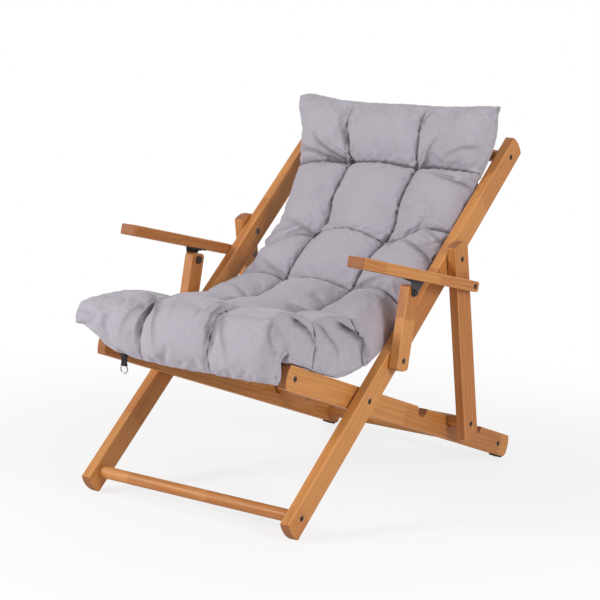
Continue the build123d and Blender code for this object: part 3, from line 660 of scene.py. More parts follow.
def rounded(values, power):
    """A quarter of a super-ellipse: the rise from 0 to 1 at a share of the way in."""
    return np.sqrt(np.clip(1 - (1 - values) ** power, 0, 1))


def whole_below(values, most):
    """The whole number at or below each value, from 0 to the most."""
    return np.clip(np.floor(values).astype(int), 0, most)


def unit(vectors):
    """Vectors divided by their lengths."""
    return vectors / np.maximum(np.linalg.norm(vectors, axis=-1, keepdims=True), 1e-9)


def square_to(slopes):
    """(y, z) slopes turned by a quarter, from +y to +z."""
    return np.stack([-slopes[..., 1], slopes[..., 0]], -1)


def points_at(at, far, points):
    """Points of a run at some distances, in proportion between the run's own."""
    return np.stack([np.interp(at, far, values) for values in points.T], -1)


def curve_through(points, at):
    """Points on a smooth run through knots 0, 1, 2..., at fractional places.

    Between two knots it is the cubic whose slopes at them are half the step from the knot
    before to the knot after.
    """
    points = np.asarray(points, float)
    slopes = np.gradient(points, axis=0)
    low = whole_below(at, len(points) - 2)
    t = (at - low)[:, None]
    a, b, da, db = points[low], points[low + 1], slopes[low], slopes[low + 1]
    return (
        a * (2 * t ** 3 - 3 * t ** 2 + 1) + da * (t ** 3 - 2 * t ** 2 + t)
        + b * (3 * t ** 2 - 2 * t ** 3) + db * (t ** 3 - t ** 2)
    )


def run_lengths(points):
    """The distance of each point along a run."""
    return np.concatenate([[0], np.cumsum(np.linalg.norm(np.diff(points, axis=0), axis=1))])


def resampled(points, step):
    """The same run of points at near equal steps, and the distance of each."""
    far = run_lengths(points)
    at = np.linspace(0, far[-1], int(round(far[-1] / step)) + 1)
    return points_at(at, far, points), at


def even_places(points, step):
    """Fractional places that divide a run of knots into near equal lengths."""
    at = np.linspace(0, len(points) - 1, 60 * (len(points) - 1) + 1)
    far = run_lengths(curve_through(points, at))
    return np.interp(np.linspace(0, far[-1], int(round(far[-1] / step)) + 1), far, at)


def grid_faces(rows, columns, wrap=False):
    """Vertex numbers of the quads over a grid, joined round its columns if it wraps."""
    steps = columns if wrap else columns - 1
    r, c = np.meshgrid(np.arange(rows - 1), np.arange(steps), indexing="ij")
    after = (c + 1) % columns
    low, high = r * columns, (r + 1) * columns
    return np.stack([low + c, low + after, high + after, high + c], -1).reshape(-1, 4)


def make_piece(name, points, faces, uv=None, smooth=True):
    """An object at the origin from arrays of points, quads and the quads' (u, v) places."""
    mesh = bpy.data.meshes.new(name)
    mesh.from_pydata(points.reshape(-1, 3).tolist(), [], faces.tolist())
    if uv is not None:
        layer = mesh.uv_layers.new(name="cloth")
        layer.data.foreach_set("uv", np.asarray(uv, np.float32).reshape(-1))
    mesh.polygons.foreach_set("use_smooth", np.full(len(mesh.polygons), smooth))
    mesh.update()
    piece = bpy.data.objects.new(name, mesh)
    bpy.context.scene.collection.objects.link(piece)
    return piece


def grid_uv(u, v):
    """Places of the quads' corners when u belongs to the rows and v to the columns.

    v has one more entry than the grid has columns where the grid wraps.
    """
    places = np.stack(np.meshgrid(v, u), -1).reshape(-1, 2)
    return places[grid_faces(len(u), len(v))]


def tube(path, radius, around):
    """A round tube along a run of points: circles square to the run, with closed ends."""
    run = unit(np.gradient(path, axis=0))
    aside = unit(np.cross(run, OFF_EVERY_RUN))
    up = np.cross(run, aside)
    turn = np.linspace(0, 2 * math.pi, around, endpoint=False)
    radius = np.broadcast_to(radius, (len(path),)).copy()
    radius[[0, -1]] *= CLOSED_END
    ring = (
        path[:, None] + radius[:, None, None]
        * (np.cos(turn)[None, :, None] * aside[:, None] + np.sin(turn)[None, :, None] * up[:, None])
    )
    return ring.reshape(-1, 3), grid_faces(len(path), around, wrap=True)


def side_grid(x, path):
    """A grid of points from places across the chair and (y, z) places along a run."""
    shape = (len(path), len(x))
    path = np.broadcast_to(path.reshape(len(path), -1, 2), (*shape, 2))
    return np.concatenate([np.broadcast_to(x[None, :, None], (*shape, 1)), path], -1)


def thickened(piece, thickness):
    """Gives a sheet its thickness, half on each side."""
    cloth = piece.modifiers.new("cloth", "SOLIDIFY")
    cloth.thickness = thickness
    cloth.offset = 0


def joined(parts):
    """Several (points, quads) meshes as one."""
    points, faces, start = [], [], 0
    for part_points, part_faces in parts:
        points.append(part_points.reshape(-1, 3))
        faces.append(part_faces + start)
        start += len(points[-1])
    return np.concatenate(points), np.concatenate(faces)


# Cloth materials
def cloth_material(name, light, dark, pitch, depth, roughness, sheen, slub=1.0, crease=0.0):
    """Plain woven cloth: crossing threads as sines of the cloth's own u and v.

    Slubs, threads thicker than the rest, are noise stretched along each thread way, and slow
    noise over the object fades the colour. A point attribute paints shade down in the folds.
    """
    material, root = new_material(name)
    uv = root.node("ShaderNodeUVMap", {"uv_map": "cloth"})
    where = root.node("ShaderNodeTexCoord", output="Object")
    u, v, _ = uv.parts()
    turn = 2 * math.pi / pitch
    warp = u.math("SINE", u * turn)
    weft = v.math("SINE", v * turn)
    weave = warp * weft * 0.5 + 0.5
    along = noise(root, stretched(uv, (900.0, 60.0, 1.0)), 1.0, 2.0, 0.6)
    across = noise(root, stretched(uv, (60.0, 900.0, 1.0)), 1.0, 2.0, 0.6)
    thread = (along + across) * 0.5
    cloud = noise(root, where, 14.0, 3.0, 0.55)
    fuzz = noise(root, where, 420.0, 2.0, 0.6)
    tone = weave * 0.22 + (thread - 0.5) * 1.5 * slub + cloud * 0.34 + fuzz * 0.22 + 0.16
    base = tone.between(0.15, 0.95).mixed(dark, light)
    # Painted shade: the crease attribute darkens the cover towards a deep tone of the dark colour.
    if crease:
        deep = root.node("ShaderNodeAttribute", {"attribute_name": "crease"}, output="Fac")
        base = (deep * crease).mixed(base, [c * 0.14 for c in dark])
    relief = weave * 0.5 + thread * 1.1 * slub + fuzz * 0.5
    finish_material(root, principled(
        root, base, roughness + (fuzz - 0.5) * 0.1, bump(root, relief, depth),
        Sheen_Weight=sheen, Sheen_Roughness=0.5, Specular_IOR_Level=0.25,
    ))
    return material


# Cushion
def crowded(count, first=True, last=True):
    """Places from 0 to 1 that stand closer together towards the ends asked for."""
    t = np.linspace(0, 1, count + 1)
    if first and last:
        eased = 0.5 - 0.5 * np.cos(t * math.pi)
    elif first:
        eased = 1 - np.cos(t * math.pi / 2)
    else:
        eased = np.sin(t * math.pi / 2)
    return t + (eased - t) * CROWDING


def cushion_grid(look):
    """Fractional places along the cushion and u across it, crowded at the tufts.

    u goes from 0 to 1 over the right pillows, to 2 over the middle and to 3 over the left.
    """
    places = [np.array([0.0])]
    for i, run in enumerate(np.diff(PLACE_AT)):
        row_first = i % 2 == 0
        places.append(i + crowded(int(round(run / look.step)), row_first, not row_first)[1:])
    u = [np.array([0.0])]
    for i, width in enumerate((SIDE_PILLOW, 2 * look.tuft_side, SIDE_PILLOW)):
        u.append(i + crowded(int(round(width / look.step)))[1:])
    return np.concatenate(places), np.concatenate(u)


def between_places(values, at, rise_power):
    """Values between places: a power of a sine from tuft row to crown, round at a seam."""
    low = whole_below(at, len(values) - 2)
    t = (at - low)[:, None]
    row_first = (low % 2 == 0)[:, None]
    row = np.where(row_first, values[low], values[low + 1])
    crown = np.where(row_first, values[low + 1], values[low])
    away = np.where(row_first, t, 1 - t)
    rise = np.sin(away * math.pi / 2) ** rise_power
    at_seam = ((at < 1) | (at > len(values) - 2))[:, None]
    rise = np.where(at_seam, rounded(away, END_ROUND), rise)
    return row + (crown - row) * rise


def smoothed(values, times):
    """Each column of values drawn towards the mean of its two neighbours, several times."""
    for _ in range(times):
        edge = np.concatenate([values[:, :1], values, values[:, -1:]], 1)
        values = (edge[:, :-2] + 2 * edge[:, 1:-1] + edge[:, 2:]) / 4
    return values


def middle_line():
    """The cushion's middle line as distances, points and unit slopes along it.

    Every inner knot is first drawn halfway to the mean of its two neighbours.
    """
    knots = CUSHION_RUN.copy()
    knots[1:-1] = (CUSHION_RUN[:-2] + 2 * CUSHION_RUN[1:-1] + CUSHION_RUN[2:]) / 4
    points = curve_through(knots, np.linspace(0, LAST_PLACE, 80 * LAST_PLACE + 1))
    run = run_lengths(points)
    return run, points, unit(np.gradient(points, run, axis=0))


def far_along(places):
    """The distance along the middle line of fractional places."""
    return np.interp(places, np.arange(LAST_PLACE + 1), PLACE_AT)


def across_chair(places, u, sides, look):
    """The x of each point: in proportion between side seams and tuft columns.

    The columns turn inwards above the last row, and bow to the left above the one before by a
    bell of the place.
    """
    borders = np.array([look.tuft_shift - look.tuft_side, look.tuft_shift + look.tuft_side])
    turn = ramp(places, TUFT_ROWS[-1], 1.2)[:, None]
    most, middle, width = COLUMN_BOW
    bow = bell(places - middle, width) * ramp(places, TUFT_ROWS[-2], 0.2)
    columns = borders + np.array(COLUMN_TURNS) * turn + most * bow[:, None]
    knots = np.concatenate([sides[:, :1], columns, sides[:, 1:2]], 1)
    part = whole_below(u, 2)
    return knots[:, part] + (knots[:, part + 1] - knots[:, part]) * (u - part)


def along_line(places, x):
    """How far along the middle line each point lies.

    Its place gives the distance. The bend of a tuft row at its x moves it, in proportion
    between two rows, and so do the ends' lifts, by a power of its nearness to the end.
    """
    far = far_along(places)
    rows = np.array([np.interp(x[0], BEND_X, bend) for bend in ROW_BENDS_MM / 1000])
    bends = np.zeros((LAST_PLACE + 1, x.shape[1]))
    bends[list(TUFT_ROWS)] = smoothed(rows, 3)
    bends[3:12:2] = (bends[2:11:2] + bends[4:13:2]) / 2
    bends[1] = bends[2] / 2
    bends[13] = bends[12] / 2
    low = whole_below(places, LAST_PLACE - 1)
    along = far[:, None] + bends[low] + (bends[low + 1] - bends[low]) * (places - low)[:, None]
    for column, from_end in ((1, far), (2, far[-1] - far)):
        lift = smoothed(np.interp(x, END_LIFTS[:, 0], END_LIFTS[:, column]), 3)
        along = along + lift * np.clip(1 - from_end / END_REACH, 0, 1)[:, None] ** END_POWER
    return along


def pillow_heights(places, u, x):
    """Heights of the upper and the lower face over the middle line, before the side seams.

    Over it the height is the tuft column's, and rises to the pillow's crest by a power of a
    sine across. Under it the height is the middle's above the sling, and the side's outside.
    """
    part = whole_below(u, 2)
    t = u - part
    outer = np.sin(np.clip(np.where(part == 0, 1 - t, t) * 1.7, 0, 1) * math.pi / 2)
    bulge = np.where(part == 1, np.sin(t * math.pi), outer)
    over = between_places(PILLOWS_MM[:, :5] / 1000, places, ROW_RISE[0])
    crest = over[:, [0, 2, 4]][:, part]
    column = over[:, 1:2] + (over[:, 3:4] - over[:, 1:2]) * np.clip(u - 1, 0, 1)
    top = column + (crest - column) * bulge ** COLUMN_RISE
    fall, last, start, width = CORNER_FALL
    corner = np.clip(places, 0, 1) * np.clip(last - places, 0, 1)
    top = top - fall * corner[:, None] * ramp(-x, start, width)

    under = between_places(PILLOWS_MM[:, 5:] / 1000, places, ROW_RISE[1])
    outside = ramp(np.abs(x), *SLING_EDGE) ** 2
    side = np.where(u > 1.5, under[:, 2:3], under[:, 0:1])
    return top, -(under[:, 1:2] + (side - under[:, 1:2]) * outside)


def cushion_shape(look):
    """Both faces of the cushion as one ring of columns, with the places and u of its grid.

    A point lies at its x and at the middle line's point for its distance along, moved along
    the line's normal by its height, which falls to the side seam as a quarter of a
    super-ellipse. The ring's five channels are x, y, z, the distance and the height.
    """
    places, u = cushion_grid(look)
    sides = curve_through(SIDES_MM / 1000, places)
    x = across_chair(places, u, sides, look)
    along = along_line(places, x)
    run, points, slope = middle_line()
    line = points_at(along, run, points)
    line = line + np.maximum(along - run[-1], 0)[..., None] * slope[-1]
    normal = square_to(points_at(along, run, slope))

    left_half = u > 1.5
    seam = np.where(left_half, sides[:, 3:4], sides[:, 2:3])
    roll = np.where(left_half, sides[:, 5:6], sides[:, 4:5])
    from_seam = np.where(left_half, sides[:, 1:2] - x, x - sides[:, 0:1])
    round_in = ramp(from_seam, 0, roll)
    faces = []
    gaps = (SEAM_GAP, -SEAM_GAP)
    for height, power, gap in zip(pillow_heights(places, u, x), SEAM_ROUND, gaps):
        height = seam + gap + (height - seam - gap) * rounded(round_in, power)
        y, z = np.moveaxis(line + normal * height[..., None], -1, 0)
        faces.append(np.stack([x, y, z, along, height], -1))
    upper, lower = faces
    return np.concatenate([upper[:, ::-1], lower], 1), places, u


def shape_normals(ring):
    """Unit normals of a wrapped grid, from the steps to its neighbours both ways."""
    along = np.gradient(ring, axis=0)
    across = np.roll(ring, -1, 1) - np.roll(ring, 1, 1)
    return unit(np.cross(across, along))


def cushion_faces(rows, count):
    """Quads of the ring mesh and of the two end seams, pointing outwards."""
    columns = 2 * count
    body = grid_faces(rows, columns, wrap=True)
    i = np.arange(count - 1)
    first = np.stack([i, i + 1, columns - 2 - i, columns - 1 - i], 1)
    last = first[:, ::-1] + (rows - 1) * columns
    return np.concatenate([body[:, ::-1], first, last])


def cushion_uv(places, u):
    """The cloth's places on those quads: u along the cushion and v round both its faces."""
    edges = np.concatenate([[0], np.cumsum(PILLOW_WIDTHS)])
    across = np.interp(u, np.arange(4), edges)
    width = edges[-1]
    around = np.concatenate([width - across[::-1], width + across, [2 * width]])
    body = grid_uv(far_along(places), around)[:, ::-1]
    return np.concatenate([body, np.zeros((2 * (len(u) - 1), 4, 2))])


def doubled(grid):
    """A grid with a new row and column between each two, on cubics through four neighbours."""
    for axis in (0, 1):
        rows = np.moveaxis(grid, axis, 0)
        wide = np.concatenate([2 * rows[:1] - rows[1:2], rows, 2 * rows[-1:] - rows[-2:-1]])
        finer = np.empty((2 * len(rows) - 1, *rows.shape[1:]))
        finer[::2] = rows
        finer[1::2] = (9 * (wide[1:-2] + wide[2:-1]) - wide[:-3] - wide[3:]) / 16
        grid = np.moveaxis(finer, 0, axis)
    return grid


def between(values):
    """A run of values with the mean of each two put between them."""
    finer = np.empty(2 * len(values) - 1)
    finer[::2] = values
    finer[1::2] = (values[1:] + values[:-1]) / 2
    return finer


def crease_field(across, along, lines):
    """How far the creases drawn by some lines move the surface, and their painted shade.

    A crease is a bell of the distance from its line, with a low lip on each side, and it
    fades with a power of the way along the line.
    """
    move, dark = np.zeros_like(along), np.zeros_like(along)
    for depth, width, *points in lines:
        run = np.array(points, float) / 1000
        step = np.diff(run, axis=0)
        size = np.hypot(step[:, 0], step[:, 1])
        reached = np.concatenate([[0], np.cumsum(size)]) / size.sum()
        nearest, done = np.full(along.shape, 9.0), np.zeros_like(along)
        for k in range(len(step)):
            away_x, away_y = across - run[k, 0], along - run[k, 1]
            t = np.clip((away_x * step[k, 0] + away_y * step[k, 1]) / size[k] ** 2, 0, 1)
            away = np.hypot(away_x - t * step[k, 0], away_y - t * step[k, 1])
            closer = away < nearest
            nearest = np.where(closer, away, nearest)
            done = np.where(closer, reached[k] + t * (reached[k + 1] - reached[k]), done)
        fade = (1 - done) ** CREASE_FADE
        dip = bell(nearest * 1000, width)
        height, middle, spread = CREASE_LIP
        lip = height * bell(nearest / width * 1000 - middle, spread)
        move += depth / 1000 * fade * (lip - dip)
        # Painted shade, as deep as the crease's dip and fading along it.
        dark = np.maximum(dark, dip * fade * depth / DARKEST_DEPTH)
    return move, dark


def simulated(ring, faces, pins, look):
    """The points after a cloth simulation with filling pressure, held at the pinned points."""
    scene = bpy.context.scene
    piece = make_piece("cushion_cloth", ring, faces)
    group = piece.vertex_groups.new(name="held")
    flat = np.round(pins.reshape(-1), 2)
    for level in np.unique(flat[flat > 0.01]):
        held = np.nonzero(np.abs(flat - level) < 1e-6)[0]
        group.add(held.tolist(), float(level), "REPLACE")
    modifier = piece.modifiers.new("filling", "CLOTH")
    modifier.settings.effector_weights.gravity = 0
    modifier.settings.uniform_pressure_force = look.pressure
    for key, value in CLOTH.items():
        setattr(modifier.settings, key, value)
    modifier.collision_settings.use_collision = False
    scene.frame_start, scene.frame_end = 1, look.frames
    modifier.point_cache.frame_start = 1
    modifier.point_cache.frame_end = look.frames
    for number in range(1, look.frames + 1):
        scene.frame_set(number)
    shape = piece.evaluated_get(bpy.context.evaluated_depsgraph_get())
    after = np.zeros(len(piece.data.vertices) * 3)
    shape.data.vertices.foreach_get("co", after)
    scene.frame_set(1)
    mesh = piece.data
    bpy.data.objects.remove(piece)
    bpy.data.meshes.remove(mesh)
    return after.reshape(ring.shape)


def puffed(ring, faces, pins, look):
    """The points moved by the simulation's wrinkles only, so that the measured shape is kept.

    Of each point's move only what differs from its neighbours' is taken, at most as far as
    the reach and less on the lower face.
    """
    move = simulated(ring, faces, pins, look) - ring
    broad = move
    for _ in range(SMOOTHINGS):
        broad = (broad + np.roll(broad, 1, 1) + np.roll(broad, -1, 1)) / 3
        edge = np.concatenate([broad[:1], broad, broad[-1:]])
        broad = (edge[:-2] + edge[1:-1] + edge[2:]) / 3
    move = move - broad
    size = np.linalg.norm(move, axis=2, keepdims=True)
    limit = np.full(ring.shape[:2], look.reach)
    limit[:, ring.shape[1] // 2:] *= LOWER_REACH
    return ring + move * np.minimum(1, limit[..., None] / np.maximum(size, 1e-9))


def kept_clear(ring):
    """The points with those over the seat rails lifted and those by the long rails drawn in."""
    x, y, z = (ring[..., k] for k in range(3))
    rear, level, fall, front, inner, clear = RAIL_TOP
    over_rail = ramp(np.abs(x), inner - RAIL_EASE, RAIL_EASE)
    in_span = ramp(y, front, RAIL_EASE) * ramp(-y, 0, REAR_EASE)
    floor_z = level + (rear - y) * fall + clear
    z = z + np.maximum(floor_z - z, 0) * over_rail * in_span
    angle = math.radians(RECLINE)
    away = np.abs((z - MAIN_PIVOT[1]) * math.cos(angle) - (y - MAIN_PIVOT[0]) * math.sin(angle))
    first, last, ease = NUTS_SWEEP
    swept = ramp(-y, -last, ease) * ramp(y, first, ease)
    least, near, change, more = BESIDE_RAILS
    most = least + ramp(away, near, change) * more * (1 - swept)
    return np.stack([np.clip(x, -most, most), y, z], -1)


def tuft_column(ring, u, k):
    """The column of the upper face that a tuft column follows, and each point's x from it."""
    column = len(u) - 1 - int(np.argmin(np.abs(u - k)))
    return column, np.abs(ring[..., 0] - ring[:, column:column + 1, 0])


def folded(piece, material):
    """Gives a soft piece its material and bakes its transform into its points."""
    put_material(piece, material)
    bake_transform(piece)


class ARMCHAIR_OT_cushion(bpy.types.Operator):
    """Makes the tufted cushion, its seams and its tuft stitches"""

    bl_idname = "armchair.cushion"
    bl_label = "Make cushion"

    def execute(self, context):
        look = context.scene.armchair_cushion
        ring, places, u = cushion_shape(look)
        count = len(u)
        faces = cushion_faces(len(places), count)
        pins = self.pins(ring, places, u)
        ring[..., :3] = puffed(ring[..., :3], faces, pins, look)
        ring = np.concatenate([doubled(ring[:, :count]), doubled(ring[:, count:])], 1)
        places, u = between(places), between(u)
        count = len(u)
        move, crease = self.creases(ring, places, u)
        move = move + self.ripples(ring, places, u)
        upper = np.arange(2 * count) < count
        move = np.where(upper, move, move * LOWER_RELIEF)[..., None]
        points = ring[..., :3]
        points = kept_clear(points + shape_normals(points) * move)

        faces = cushion_faces(len(places), count)
        piece = make_piece("cushion", points, faces, cushion_uv(places, u))
        # This point attribute carries the painted shade of the creases, tuft rows and columns.
        layer = piece.data.attributes.new("crease", "FLOAT", "POINT")
        layer.data.foreach_set("value", crease.astype(np.float32).reshape(-1))
        cover = cloth_material(
            "cotton cover", look.cloth, look.shade, pitch=0.0013, depth=0.00016,
            roughness=0.86, sheen=0.22, crease=look.crease,
        )
        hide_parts("seat_cushion", "back_cushion")
        folded(piece, cover)
        self.seams(points, count, look)
        self.stitches(points, places, u, look)
        return {"FINISHED"}

    def pins(self, ring, places, u):
        """How firmly each point is held: wholly at tufts and ends, partly along the valleys.

        A tuft holds wholly up to 0.6 of its radius and lets go at 1.6.
        """
        tuft, valley = 0.007, 0.009
        row_hold, column_hold = 0.5, 0.45
        far = far_along(places)[:, None]
        pins = np.zeros(ring.shape[:2])
        for k in (1, 2):
            _, from_column = tuft_column(ring, u, k)
            pins = np.maximum(pins, column_hold * bell(from_column, valley))
            for row in TUFT_ROWS:
                away = np.hypot(far - PLACE_AT[row], from_column)
                pins = np.maximum(pins, np.clip(1.6 - away / tuft, 0, 1))
        for row in TUFT_ROWS:
            pins = np.maximum(pins, row_hold * bell(far - PLACE_AT[row], valley))
        pins[:2] = 1
        pins[-2:] = 1
        return pins

    def creases(self, ring, places, u):
        """How far the measured creases move each point, and the painted shade of the cover there.

        The tuft rows and columns get painted shade too, by a bell of the distance from them.
        """
        x, along, height = ring[..., 0], ring[..., 3], ring[..., 4]
        upper = np.arange(2 * len(u)) < len(u)
        move, dark = crease_field(x, along, PLEATS_MM)
        on_top = (1 - ramp(np.abs(x), *TOP_EDGE)) * upper
        folds, fold_dark = crease_field(height, along, FLANK_FOLDS_MM)
        flank = ramp(x, *FLANK_EDGE)
        dark = np.maximum(dark * on_top, fold_dark * flank)
        # Painted shade down in the tuft rows, faint at the front crest's row.
        for row in TUFT_ROWS:
            away = (far_along(places) - PLACE_AT[row])[:, None]
            shade = CREST_SHADE if row == TUFT_ROWS[0] else VALLEY_SHADE
            dark = np.maximum(dark, shade * bell(away, SHADE_WIDTH) * upper)
        ends = np.clip(np.minimum(along, PLACE_AT[-1] - along) / 0.09 + 0.1, 0, 1)
        # Painted shade down in the tuft columns, fading towards the ends.
        for k in (1, 2):
            _, away = tuft_column(ring, u, k)
            dark = np.maximum(dark, VALLEY_SHADE * ends * bell(away, SHADE_WIDTH) * upper)
        return move * on_top + folds * flank, dark

    def ripples(self, ring, places, u):
        """How far the fine relief moves each point along its normal.

        Each ripple is a sine of the distance along or of x, kept to its region by a bell or a
        ramp. The factors inside the sines are chosen so that no two keep step.
        """
        x, along, height = ring[..., 0], ring[..., 3], ring[..., 4]
        upper = np.arange(2 * len(u)) < len(u)
        turn = 2 * math.pi
        slow = np.sin(37 * x + 21 * along) + np.sin(61 * along - 23 * x)
        move = COVER_WAVE * (slow + 0.6 * np.sin(90 * x + 51 * along))
        size, pitch, width = ROW_RIPPLE
        middle = sum(ring[0, tuft_column(ring, u, k)[0], 0] for k in (1, 2)) / 2
        side = ramp(np.abs(x - middle), 0.11, 0.1) * upper
        for row in TUFT_ROWS:
            away = (far_along(places) - PLACE_AT[row])[:, None]
            wave = np.cos((away + 0.010 * np.sin(11 * x + row)) * turn / pitch)
            move = move + size * side * wave * bell(away, width)
        size, pitch = SIDE_GATHER
        gather = np.sin(along * turn / pitch + 2.2 * np.sin(along * 31) + 14 * height)
        move = move + size * ramp(np.abs(x), *GATHER_EDGE) * gather
        size, pitch, width = HEM_RIPPLE
        hem = np.sin(x * turn / pitch + 1.8 * np.sin(x * 27))
        for run in (along, PLACE_AT[-1] - along):
            near = np.clip(1 - run / width, 0, 1) ** 1.3
            move = move + size * near * hem * upper
        return move

    def seams(self, ring, count, look):
        """A narrow rolled seam round the cushion, where its two faces meet."""
        columns = ring.shape[1]
        i = np.arange(count)
        right = (ring[:, count - 1] + ring[:, count]) / 2
        left = (ring[:, 0] + ring[:, -1]) / 2
        start, end = ((ring[row, i] + ring[row, columns - 1 - i]) / 2 for row in (0, -1))
        loop = np.concatenate([left, end[1:-1], right[::-1], start[::-1][1:-1], left[:1]])
        far = run_lengths(loop)
        step, radius, swell = 0.004, 0.0017, 0.0003
        path = points_at(np.arange(0, far[-1], step), far, loop)
        path = np.concatenate([path, path[:1]])
        points, faces = tube(path, radius + swell * np.sin(np.arange(len(path)) * 1.7), 8)
        shade = [c * 0.96 for c in look.cloth]
        thread = metal_material("seam cloth", shade, roughness=0.9, relief=0.0002)
        folded(make_piece("cushion_seam", points, faces), thread)

    def stitches(self, ring, places, u, look):
        """Two crossed loops of thread in each tuft, each a shallow arch."""
        half, rise, drop, radius = 0.0035, 0.0014, 0.0022, 0.0006
        t = np.linspace(-1, 1, 9)[:, None]
        arch = rise - drop * t ** 2
        parts = []
        normal = shape_normals(ring)
        for row in TUFT_ROWS:
            at = int(np.argmin(np.abs(places - row)))
            for k in (1, 2):
                column, _ = tuft_column(ring, u, k)
                up = normal[at, column]
                aside = unit(np.cross(up, (0.0, 0.0, 1.0)))
                along = np.cross(aside, up)
                for turn in (0.6, 2.2):
                    way = aside * math.cos(turn) + along * math.sin(turn)
                    parts.append(tube(ring[at, column] + way * t * half + up * arch, radius, 6))
        points, faces = joined(parts)
        shade = [c * 0.5 for c in look.cloth]
        thread = metal_material("tuft thread", shade, roughness=0.8, relief=0.0001)
        folded(make_piece("tuft_stitches", points, faces), thread)


# Sling and strap
def arc(centre, radius, start, stop, count):
    """Points on a circle of the side plane, from one angle to another, in degrees."""
    angle = np.radians(np.linspace(start, stop, count))
    return np.stack([centre[0] + radius * np.cos(angle), centre[1] + radius * np.sin(angle)], 1)


class ARMCHAIR_OT_sling(bpy.types.Operator):
    """Makes the canvas sling under the cushion, looped round the front and top bars"""

    bl_idname = "armchair.sling"
    bl_label = "Make sling"

    def execute(self, context):
        look = context.scene.armchair_sling
        loop = BAR_RADIUS + look.cloth
        middle = curve_through(SLING_RUN, even_places(SLING_RUN, 0.008))
        front = arc(FRONT_BAR, loop, 250, 78, 22)
        top = arc(TOP_BAR, loop, 146, -60, 22)
        front_tail = front[0] + np.outer(np.linspace(1, 0.2, 5), FRONT_TAIL) * look.overlap
        top_tail = top[-1] + np.outer(np.linspace(0.2, 1, 5), TOP_TAIL) * look.overlap
        path = np.concatenate([front_tail, front, middle, top, top_tail])
        path, far = resampled(path, 0.006)
        x = np.linspace(-look.width / 2, look.width / 2, 49)
        normal = square_to(unit(np.gradient(path, axis=0)))
        hem_width, hem_step, hem_height, ripple_height = 0.014, 0.001, 0.0005, 0.0004
        hem = hem_height * ramp(np.abs(x), look.width / 2 - hem_width, hem_step)
        ripple = ripple_height * np.sin(far[:, None] * 70 + 5 * np.sin(x * 30)) + hem
        grid = side_grid(x, path[:, None] + normal[:, None] * ripple[..., None])
        piece = make_piece(
            "sling", grid, grid_faces(len(path), len(x)), grid_uv(far, x + look.width)
        )
        thickened(piece, look.cloth)
        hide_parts("seat_sling", "back_sling")
        canvas = cloth_material(
            "sling canvas", look.canvas, look.canvas_dark, pitch=0.0016, depth=0.0002,
            roughness=0.88, sheen=0.15, slub=0.7,
        )
        folded(piece, canvas)
        return {"FINISHED"}


class ARMCHAIR_OT_strap(bpy.types.Operator):
    """Makes the webbing strap that hangs from the front bar and holds the ring"""

    bl_idname = "armchair.strap"
    bl_label = "Make strap"

    def execute(self, context):
        look = context.scene.armchair_sling
        low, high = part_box("hanging_strap")
        _, ring_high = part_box("strap_ring")
        across = (low[0] + high[0]) / 2
        y, wire = FRONT_BAR[0], ring_high[2] - WIRE_RADIUS
        sewn, apart = 0.0009, 0.0026
        pinch = FRONT_BAR[1] - STRAP_PINCH
        path = np.concatenate([
            [(y - sewn, pinch - 0.004), (y - apart, pinch + 0.001)],
            arc(FRONT_BAR, BAR_LOOP, 248, -68, 40),
            [(y + apart, pinch + 0.001), (y + sewn, pinch - 0.004), (y + sewn, wire + 0.004)],
            arc((y, wire), WIRE_LOOP, 25, -205, 12),
            [(y - sewn, wire + 0.004), (y - sewn, pinch - 0.0045)],
        ])
        path, far = resampled(path, 0.0012)
        x = across + np.linspace(-STRAP_HALF, STRAP_HALF, 9)
        piece = make_piece(
            "strap", side_grid(x, path), grid_faces(len(path), len(x)),
            grid_uv(far, x - across + 0.5),
        )
        thickened(piece, STRAP_THICK)
        put_material(piece, cloth_material(
            "webbing", look.webbing, [c * 0.5 for c in look.webbing], pitch=0.0018,
            depth=0.0003, roughness=0.75, sheen=0.1,
        ))
        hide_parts("hanging_strap")
        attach(piece, "seat_frame")
        return {"FINISHED"}


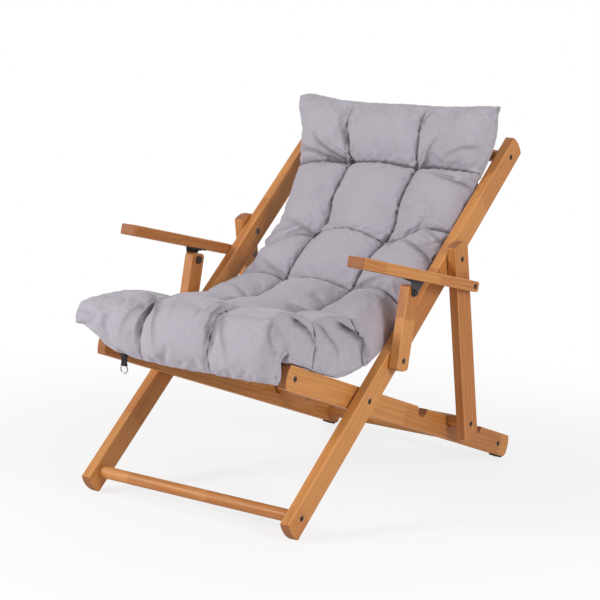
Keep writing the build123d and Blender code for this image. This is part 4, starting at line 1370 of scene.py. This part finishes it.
# Stage
class ARMCHAIR_OT_stage(bpy.types.Operator):
    """Makes the floor, the lights and the photograph's camera"""

    bl_idname = "armchair.stage"
    bl_label = "Set stage"

    def execute(self, context):
        look = context.scene.armchair_stage
        self.floor(look)
        self.soft_light(context.scene, look)
        for name, (at, size, part, tint) in LAMPS.items():
            self.lamp(name, at, size, look.key * part, tint)
        self.camera(context.scene)
        context.scene.view_settings.view_transform = "Standard"
        return {"FINISHED"}

    def floor(self, look):
        """A matt floor that the camera sees as plain white further out, and partly nearby."""
        side = np.linspace(-FLOOR_HALF, FLOOR_HALF, 13)
        grid = np.stack(np.meshgrid(side, side, [0.0], indexing="ij"), -1)
        faces = grid_faces(len(side), len(side))[:, ::-1]
        floor = make_piece("floor", grid, faces, smooth=False)
        material, root = new_material("pale floor")
        where = root.node("ShaderNodeTexCoord", output="Object")
        cloud = noise(root, where, 3.0, 2.0)
        base = cloud.mixed(look.floor, [c * 0.985 for c in look.floor])
        matt = principled(root, base, 0.6, Specular_IOR_Level=0.2)
        (seen,) = root.outputs("ShaderNodeLightPath", "Is Camera Ray")
        away = where.vector("LENGTH", where, output=1).between(*WHITE_FROM)
        white = root.node("ShaderNodeEmission", None, {"Color": WHITE, "Strength": 1.0})
        finish_material(root, root.node("ShaderNodeMixShader", None, {
            0: seen * (look.clean + away * (1.0 - look.clean)), 1: matt, 2: white,
        }))
        put_material(floor, material)

    def soft_light(self, scene, look):
        """Even light from all round, which the camera and mirrored rays see as plain white."""
        world = bpy.data.worlds.new("soft light")
        scene.world = world
        world.use_nodes = True
        world.node_tree.nodes.clear()
        root = Value(world.node_tree)
        seen, glossy, through = root.outputs(
            "ShaderNodeLightPath", "Is Camera Ray", "Is Glossy Ray", "Is Transmission Ray"
        )
        seen = seen.math("MAXIMUM", seen, glossy)
        seen = seen.math("MAXIMUM", seen, through)
        strength = look.fill + seen * (1.0 - look.fill)
        light = root.node("ShaderNodeBackground", None, {"Color": WHITE, "Strength": strength})
        root.node("ShaderNodeOutputWorld", None, {"Surface": light})

    def camera(self, scene):
        """The photograph's camera: turned by its yaw, then its pitch, then its roll."""
        data = bpy.data.cameras.new("camera")
        data.sensor_width = SENSOR_MM
        data.lens = FOCAL_WIDTHS * SENSOR_MM
        data.clip_end = 60
        camera = bpy.data.objects.new("camera", data)
        scene.collection.objects.link(camera)
        camera.matrix_world = (
            Matrix.Translation(CAMERA_AT) @ Matrix.Rotation(CAMERA_YAW, 4, "Z")
            @ Matrix.Rotation(math.pi / 2 - CAMERA_PITCH, 4, "X")
            @ Matrix.Rotation(CAMERA_ROLL, 4, "Z")
        )
        scene.camera = camera

    def lamp(self, name, at, size, power, tint):
        """A round lamp that looks at the chair."""
        data = bpy.data.lights.new(name, "AREA")
        data.shape = "DISK"
        data.size = size
        data.energy = power
        data.color = tint
        lamp = bpy.data.objects.new(name, data)
        bpy.context.scene.collection.objects.link(lamp)
        way = Vector(LAMP_AIM) - Vector(at)
        lamp.location = at
        lamp.rotation_euler = way.to_track_quat("-Z", "Y").to_euler()


class ARMCHAIR_PT_panel(bpy.types.Panel):
    """Lists the steps that dress the armchair."""

    bl_label = "Armchair"
    bl_idname = "ARMCHAIR_PT_panel"
    bl_space_type = "VIEW_3D"
    bl_region_type = "UI"
    bl_category = "Armchair"

    def draw(self, context):
        for step in STEPS:
            self.layout.operator(step.bl_idname)
        for name in SETTINGS:
            group = getattr(context.scene, name)
            box = self.layout.box()
            for key in group.__annotations__:
                box.prop(group, key)


SETTINGS = {
    "armchair_timber": TimberSettings,
    "armchair_metal": MetalSettings,
    "armchair_cushion": CushionSettings,
    "armchair_sling": SlingSettings,
    "armchair_stage": StageSettings,
}
STEPS = (
    ARMCHAIR_OT_stage, ARMCHAIR_OT_timber, ARMCHAIR_OT_fittings, ARMCHAIR_OT_cushion,
    ARMCHAIR_OT_sling, ARMCHAIR_OT_strap,
)


def register():
    for made in (*SETTINGS.values(), *STEPS, ARMCHAIR_PT_panel):
        bpy.utils.register_class(made)
    for name, group in SETTINGS.items():
        setattr(bpy.types.Scene, name, PointerProperty(type=group))


def unregister():
    for name in SETTINGS:
        delattr(bpy.types.Scene, name)
    for made in reversed((*SETTINGS.values(), *STEPS, ARMCHAIR_PT_panel)):
        bpy.utils.unregister_class(made)


def main():
    register()
    bpy.ops.armchair.stage()
    bpy.ops.armchair.timber()
    bpy.ops.armchair.fittings()
    bpy.ops.armchair.cushion()
    bpy.ops.armchair.sling()
    bpy.ops.armchair.strap()


if __name__ == "__main__":
    main()
